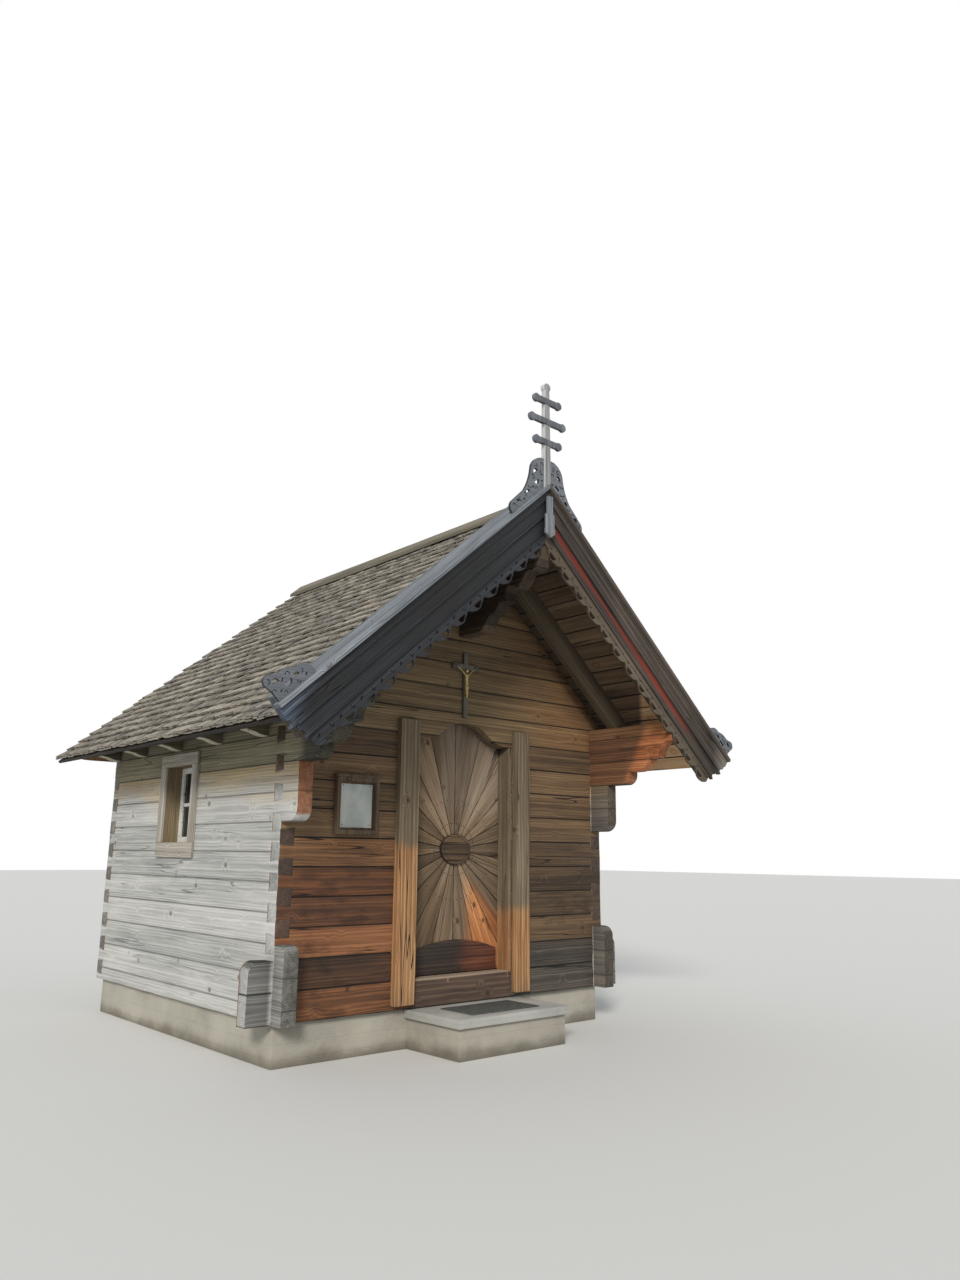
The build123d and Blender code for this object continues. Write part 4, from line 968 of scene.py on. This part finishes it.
class Rays(Timber):
    """Timber laid like the rays of a sun: the grain of each board runs out from the disc."""

    def lay(self, point):
        along, deep, high = self.split(point)
        dx = along - door_x
        dz = high - disc_z
        angle = dz.math("ARCTAN2", dz, dx)
        self.board = math.floor(angle / ray_angle + 0.5)
        reach = (dx * dx + dz * dz) ** 0.5
        aside = angle - self.board * ray_angle
        self.from_edge = (ray_angle / 2 - abs(aside)) * reach
        return reach + self.board * 3.3, deep, aside * reach + self.board * 0.7


larch = Rays("sunburst_larch", (0, 0, 0), ((70, 56, 42), (122, 102, 80), (164, 143, 118)), knots=0.65, cracks=1.0)
shade = larch.node("ShaderNodeTexWhiteNoise", {"noise_dimensions": "1D"}, {"W": larch.board + 40.3})
aside = larch.x - door_x
brown = (aside + (shade - 0.5) * 0.3).between(-0.12, -0.2)
larch.age(brown * 0.7, ((62, 48, 34), (106, 86, 62), (144, 122, 94)))
bleached = larch.z.between(1.5, 1.7) * aside.between(-0.2, -0.06)
larch.age(bleached * 0.8, ((92, 78, 64), (136, 119, 101), (170, 154, 136)))
# Painted sunlight: the right side of the door below a slanting line is painted orange, as if lit by a low sun.
evening_sunlight = (larch.z + aside * 0.9 + larch.streak * 0.1).between(1.32, 1.2)
larch.age(evening_sunlight * aside.between(0.06, 0.2) * 0.9, ((104, 60, 30), (172, 108, 60), (210, 152, 98)))
edge = larch.from_edge.between(0.006, 0.002)
larch.darken((shade * 0.6 + 0.68) * (1 - edge * 0.55))
fit(sun_boards, larch.done(), ["door_leaf"], "door")

back_larch = Timber("back_board_larch", GRAIN_Z, ((96, 68, 44), (150, 114, 78), (190, 154, 114)))
fit(door_slab("upright_back_boards", leaf_front + 0.021, leaf_front + 0.045), back_larch.done(), (),
    "door")

places = []
for k in range(ray_count):
    for reach in (0.19, 0.36):
        for way in (-0.2, 0.2):
            turned = k * ray_angle + way * ray_angle
            x = door_x + math.cos(turned) * reach
            z = disc_z + math.sin(turned) * reach
            if abs(x - door_x) < door_half - 0.03:
                places.append((x, leaf_front, z))
studs("door_nails", places, (0, -1, 0), 0.0048, nail_iron, "door")

disc = Timber("disc_larch", GRAIN_X, ((50, 38, 27), (92, 72, 50), (128, 104, 76)), disc_z - 0.11, 0.0733,
              cracks=1.2, joint=0.8)
aside, above = disc.x - door_x, disc.z - disc_z
from_middle = (aside * aside * 0.62 + above * above) ** 0.5
cut_ring = abs(from_middle - 0.088).between(0.0, 0.004, 1, 0)
rim_ring = from_middle.between(0.103, 0.109)
disc.darken((1 - cut_ring * 0.6) * (1 - rim_ring * 0.7))
worked("door_disc", "carved_disc", disc.done(depth=0.006), 0.005, 3, body="door")

kick = Timber("kickboard_larch", GRAIN_X, ((22, 18, 16), (42, 34, 29), (78, 62, 50)), cracks=1.2)
reddened = (kick.x + (kick.blotch - 0.5) * 0.4).between(door_x, door_x + 0.2)
kick.age(reddened * 0.85, ((52, 26, 17), (96, 52, 35), (140, 86, 62)))
worked("door_kickboard", "kick_board", kick.done(), body="door")

batten = Timber("batten_larch", GRAIN_X, ((96, 66, 42), (152, 114, 76), (192, 154, 112)))
worked("door_battens", "chamfered_battens", batten.done(), 0.008, 1, body="door")

forged = Finish("forged_iron")
scale = forged.noise((60, 60, 60), 5)
iron_tone = forged.ramp(scale, (0.3, (26, 26, 28)), (0.55, (52, 50, 50)), (0.8, (104, 74, 56)))
black_iron = forged.close(iron_tone, scale, 0.55, 0.0015, 0.6, 0.8)
worked("door_straps", "forged_straps", black_iron, 0.001, 1, body="door")
worked("hinge_brackets", "forged_hinge_pins", black_iron, 0.001, 1)


# Windows: a casing of four plain boards nailed on the logs, a deep lining behind it, and a white sash
# with one bar and two panes. The casing is grey; the lining is still warm.

left_edge, right_edge = front + 1.3, front + 1.76
low_edge, high_edge = base + 1.085, base + 1.65
casing_width = 0.085
casing_thick = lining = 0.022
stile = 0.042
bar_half = 0.014


def on_both_walls(name, material, nodes, depths, boards, edge=0.003):
    """Boards put up alike in both side walls, each from where to where along the wall and up it."""
    planks = []
    for side in (-1, 1):
        low_x, high_x = sorted(side * (half_width + depth) for depth in depths)
        for low_y, high_y, low_z, high_z in boards:
            planks.append(plank((low_x, low_y, low_z), (high_x, high_y, high_z), edge))
    fit(joined(planks, name), material, nodes)


casing_tones = ((112, 107, 98), (164, 158, 147), (204, 198, 187))
casing_wood = Timber("casing_boards", GRAIN_Z, casing_tones, knots=0.3).done((96, 78, 60))
on_both_walls("window_casings", casing_wood, ["window_frames"], (0, casing_thick),
              ((left_edge - casing_width, left_edge, low_edge, high_edge),
               (right_edge, right_edge + casing_width, low_edge, high_edge)))
head_wood = Timber("head_boards", GRAIN_Y, casing_tones, knots=0.3).done((96, 78, 60))
ends = (left_edge - casing_width, right_edge + casing_width)
on_both_walls("window_head_boards", head_wood, (), (0, casing_thick),
              ((*ends, low_edge - 0.11, low_edge - 0.001), (*ends, high_edge + 0.001, high_edge + 0.09)))
lining_boards = Timber("lining_boards", GRAIN_Z, ((84, 72, 54), (126, 110, 84), (162, 144, 114)), knots=0.4)
on_both_walls("window_linings", lining_boards.done((96, 70, 48)), (), (0, -0.15),
              ((left_edge - lining, left_edge, low_edge - lining, high_edge + lining),
               (right_edge, right_edge + lining, low_edge - lining, high_edge + lining),
               (left_edge, right_edge, low_edge - lining, low_edge),
               (left_edge, right_edge, high_edge, high_edge + lining)), 0.002)

white = Finish("white_paint")
peel = white.noise((26, 26, 60), 5)
gone = peel.between(0.6, 0.66)
paint = white.mix(gone, tint(222, 222, 216), tint(150, 140, 122))
middle = (low_edge + high_edge) / 2
between_stiles = (left_edge + stile, right_edge - stile)
on_both_walls("painted_sashes", white.close(paint, peel - gone * 0.5, 0.55, 0.001, 0.4), ["window_sashes"],
              (-0.112, -0.147), ((left_edge, left_edge + stile, low_edge, high_edge),
                                 (right_edge - stile, right_edge, low_edge, high_edge),
                                 (*between_stiles, low_edge, low_edge + stile),
                                 (*between_stiles, middle - bar_half, middle + bar_half),
                                 (*between_stiles, high_edge - stile, high_edge)))

pane = Finish("window_glass")
ripple = pane.noise((14, 14, 14), 2)
# The panes are opaque: the dark room behind them is painted into their colour as painted shade.
behind = pane.ramp(pane.noise((3, 3, 5), 2), (0.3, (20, 24, 27)), (0.7, (52, 58, 60)))
worked("window_panes", "cut_panes", pane.close(behind, ripple, 0.12, 0.002, 0.12), 0.001, 1)


# Notice board: a shallow box with a mitred frame and a small drip board over it, and a sheet of bare
# paper pinned inside, cockled by damp.

box_wood = Timber("notice_larch", GRAIN_Z, ((46, 36, 28), (86, 70, 54), (128, 108, 86)), knots=0.0)
worked("notice_board", "notice_frame", box_wood.done())
sheet = blank("notice_sheet", "pinned_sheet")
cut_across(sheet, ALONG_X, -1.1, -0.78, 0.03)
cut_across(sheet, ALONG_Z, 1.4, 1.8, 0.03)
waver(sheet, 0.003, 0.08)
paper = Finish("damp_paper")
damp_mark = paper.noise((5, 5, 5), 4)
pulp = paper.noise((200, 200, 200), 2)
paper_tone = paper.ramp(damp_mark, (0.3, (158, 165, 163)), (0.55, (192, 197, 192)), (0.8, (206, 200, 184)))
fit(sheet, paper.close(paper_tone, pulp + damp_mark, 0.85, 0.001, 0.4), ["notice_sheet"])
pin_places = [(x, front - 0.0145, z) for x in (-1.052, -0.835) for z in (1.462, 1.72)]
studs("notice_pins", pin_places, (0, -1, 0), 0.004, nail_iron)


# Crucifix: a small cross of dark wood fixed over the door, with a carved and gilded figure, its arms
# raised to the bar, a cloth about the hips and the head bent a little forward.

cross_wood = Timber("crucifix_walnut", GRAIN_Z, ((52, 48, 44), (86, 81, 75), (122, 116, 108)), knots=0.0)
worked("crucifix", "small_cross", cross_wood.done())

arm_height = base + 2.4
cross_thick = 0.022
chest_y = front - cross_thick - 0.0095
joints = ((0, -0.052, 0.0, 0.007), (0, -0.075, 0.0, 0.0155), (0, -0.112, 0.0, 0.013), (0, -0.142, 0.0, 0.0145),
          (0.006, -0.19, -0.001, 0.009), (0.003, -0.225, 0.0, 0.006), (0.002, -0.236, -0.003, 0.0045),
          (-0.006, -0.188, -0.001, 0.009), (-0.003, -0.223, -0.002, 0.006), (-0.002, -0.236, -0.004, 0.0045),
          (0.02, -0.058, 0.0, 0.006), (0.055, -0.026, 0.002, 0.0048), (0.096, -0.001, 0.004, 0.0035),
          (-0.02, -0.058, 0.0, 0.006), (-0.055, -0.026, 0.002, 0.0048), (-0.096, -0.001, 0.004, 0.0035))
bones = ((0, 1), (1, 2), (2, 3), (3, 4), (4, 5), (5, 6), (3, 7), (7, 8), (8, 9), (1, 10), (10, 11), (11, 12),
         (1, 13), (13, 14), (14, 15))
skeleton = bpy.data.meshes.new("figure_bones")
skeleton.from_pydata([(x, chest_y + y, arm_height + z) for x, z, y, size in joints], bones, [])
body = bpy.data.objects.new("carved_body", skeleton)
bpy.context.collection.objects.link(body)
select_only(body)
bpy.ops.object.modifier_add(type="SKIN")
for skin, joint in zip(skeleton.skin_vertices[0].data, joints):
    skin.radius = (joint[3], min(joint[3], 0.0085))
bpy.ops.object.modifier_apply(modifier="Skin")
modify(body, "SUBSURF", levels=1, render_levels=1)

bpy.ops.mesh.primitive_uv_sphere_add(segments=24, ring_count=16, radius=0.0115, location=(0, 0, 0))
head = bpy.context.object
for corner in head.data.vertices:
    x, y, z = corner.co
    y = y * 0.92
    z = z * 1.22
    if y < 0:
        brow = math.exp(-((z - 0.003) / 0.0012) ** 2) * 0.0008
        nose = math.exp(-(x / 0.0013) ** 2 - ((z + 0.0015) / 0.0028) ** 2) * 0.0022
        eyes = math.exp(-((abs(x) - 0.0042) / 0.0016) ** 2 - ((z - 0.0008) / 0.0014) ** 2) * 0.0014
        mouth = math.exp(-(x / 0.003) ** 2 - ((z + 0.0062) / 0.0009) ** 2) * 0.0007
        y += eyes + mouth - nose - brow
        x *= 1 - max(0.0, -z - 0.004) * 30
    corner.co = (x, chest_y - 0.003 + y, arm_height - 0.0295 + z)

bpy.ops.mesh.primitive_cylinder_add(vertices=20, radius=0.0155, depth=0.034, location=(0, 0, 0))
cloth = bpy.context.object
cut_across(cloth, ALONG_Z, -0.017, 0.017, 0.0055)
for corner in cloth.data.vertices:
    x, y, z = corner.co
    fold = 1 + 0.05 * math.sin(math.atan2(y, x) * 7 + z * 160)
    corner.co = (x * fold * (1.0 - z * 6), chest_y + y * fold * 0.55, arm_height - 0.15 + z + x * 0.35)
worn_edges(cloth, 0.001, 1)
figure = joined([body, head, cloth], "carved_figure")
outward(figure)
bpy.ops.object.shade_smooth_by_angle(angle=math.radians(50))
gilt = Finish("worn_gilt")
rubbed = gilt.noise((90, 90, 90), 4)
gilt_tone = gilt.ramp(rubbed, (0.3, (128, 102, 54)), (0.5, (192, 168, 100)), (0.75, (222, 202, 142)))
fit(figure, gilt.close(gilt_tone, rubbed, 0.5, 0.0006, 0.4, 0.25), ["crucifix_figure"])


# Floor: planed boards on sleepers, seen when the door stands open. They run from the door to the back
# wall and are still pale.

inner = half_width - wall_thick
floor_count = 16
floor_width = 2 * inner / floor_count
boards = []
for k in range(floor_count):
    boards.append(plank((-inner + k * floor_width, front + wall_thick, base + 0.125),
                        (-inner + (k + 1) * floor_width - 0.002, back - wall_thick, base + 0.16), 0.002))
spruce = Timber("floor_spruce", GRAIN_Y, ((104, 78, 54), (156, 124, 90), (192, 162, 126)), -inner, 0.17,
                own_tone=0.2)
fit(joined(boards, "floor_boards"), spruce.done(rough=0.6), ["floor"])
worked("floor_sleepers", "sawn_sleepers", ridge_larch)


# Ground, light and camera: a pale floor and a pale surround, a wide soft lamp from the front left as
# the sun stands there, and the place from which the chapel is seen.

floor = Finish("studio_floor")
bpy.ops.mesh.primitive_plane_add(size=120, location=(0, 0, 0))
ground = bpy.context.object
ground.name = "studio_floor"
ground.data.materials.append(floor.close((0.78, 0.78, 0.76, 1.0), floor.noise((8, 8, 8)), 0.9, 0.0005, 0.1))

world = bpy.data.worlds.new("studio")
bpy.context.scene.world = world
surround = Nodes(world)
pale = surround.node("ShaderNodeBackground", {}, {"Color": (1, 1, 1, 1), "Strength": 1.0})
ambient = surround.node("ShaderNodeBackground", {}, {"Color": (0.93, 0.96, 1.0, 1), "Strength": 0.5})
camera_ray = surround.node("ShaderNodeLightPath", {}, {}, "Is Camera Ray")
glossy_ray = surround.node("ShaderNodeLightPath", {}, {}, "Is Glossy Ray")
switch = surround.node("ShaderNodeMixShader", {}, {0: camera_ray.or_more(glossy_ray), 1: ambient, 2: pale})
surround.node("ShaderNodeOutputWorld", {}, {"Surface": switch})

bpy.ops.object.light_add(type="SUN", location=(-6, -7, 6))
sun = bpy.context.object
sun.name = "soft_key"
sun.data.energy = 2.3
sun.data.angle = math.radians(14)
sun.data.color = (1.0, 0.96, 0.9)
sun.rotation_euler = Vector((0.66, 0.62, -0.46)).to_track_quat("-Z", "Y").to_euler()

yaw, tilt, roll = (math.radians(a) for a in (41.308, 12.776, 0.555))
right = Vector((math.cos(yaw), -math.sin(yaw), 0))
ahead = Vector((math.sin(yaw) * math.cos(tilt), math.cos(yaw) * math.cos(tilt), math.sin(tilt)))
above = right.cross(ahead)
right_rolled = math.cos(roll) * right + math.sin(roll) * above
above_rolled = math.cos(roll) * above - math.sin(roll) * right
bpy.ops.object.camera_add(location=(-4.5609, -6.3858, 1.28))
camera = bpy.context.object
camera.name = "photo_camera"
camera.data.lens = 26.556
camera.data.sensor_width = 36
camera.rotation_euler = Matrix((right_rolled, above_rolled, -ahead)).transposed().to_euler()
bpy.context.scene.camera = camera
bpy.context.scene.view_settings.view_transform = "Standard"
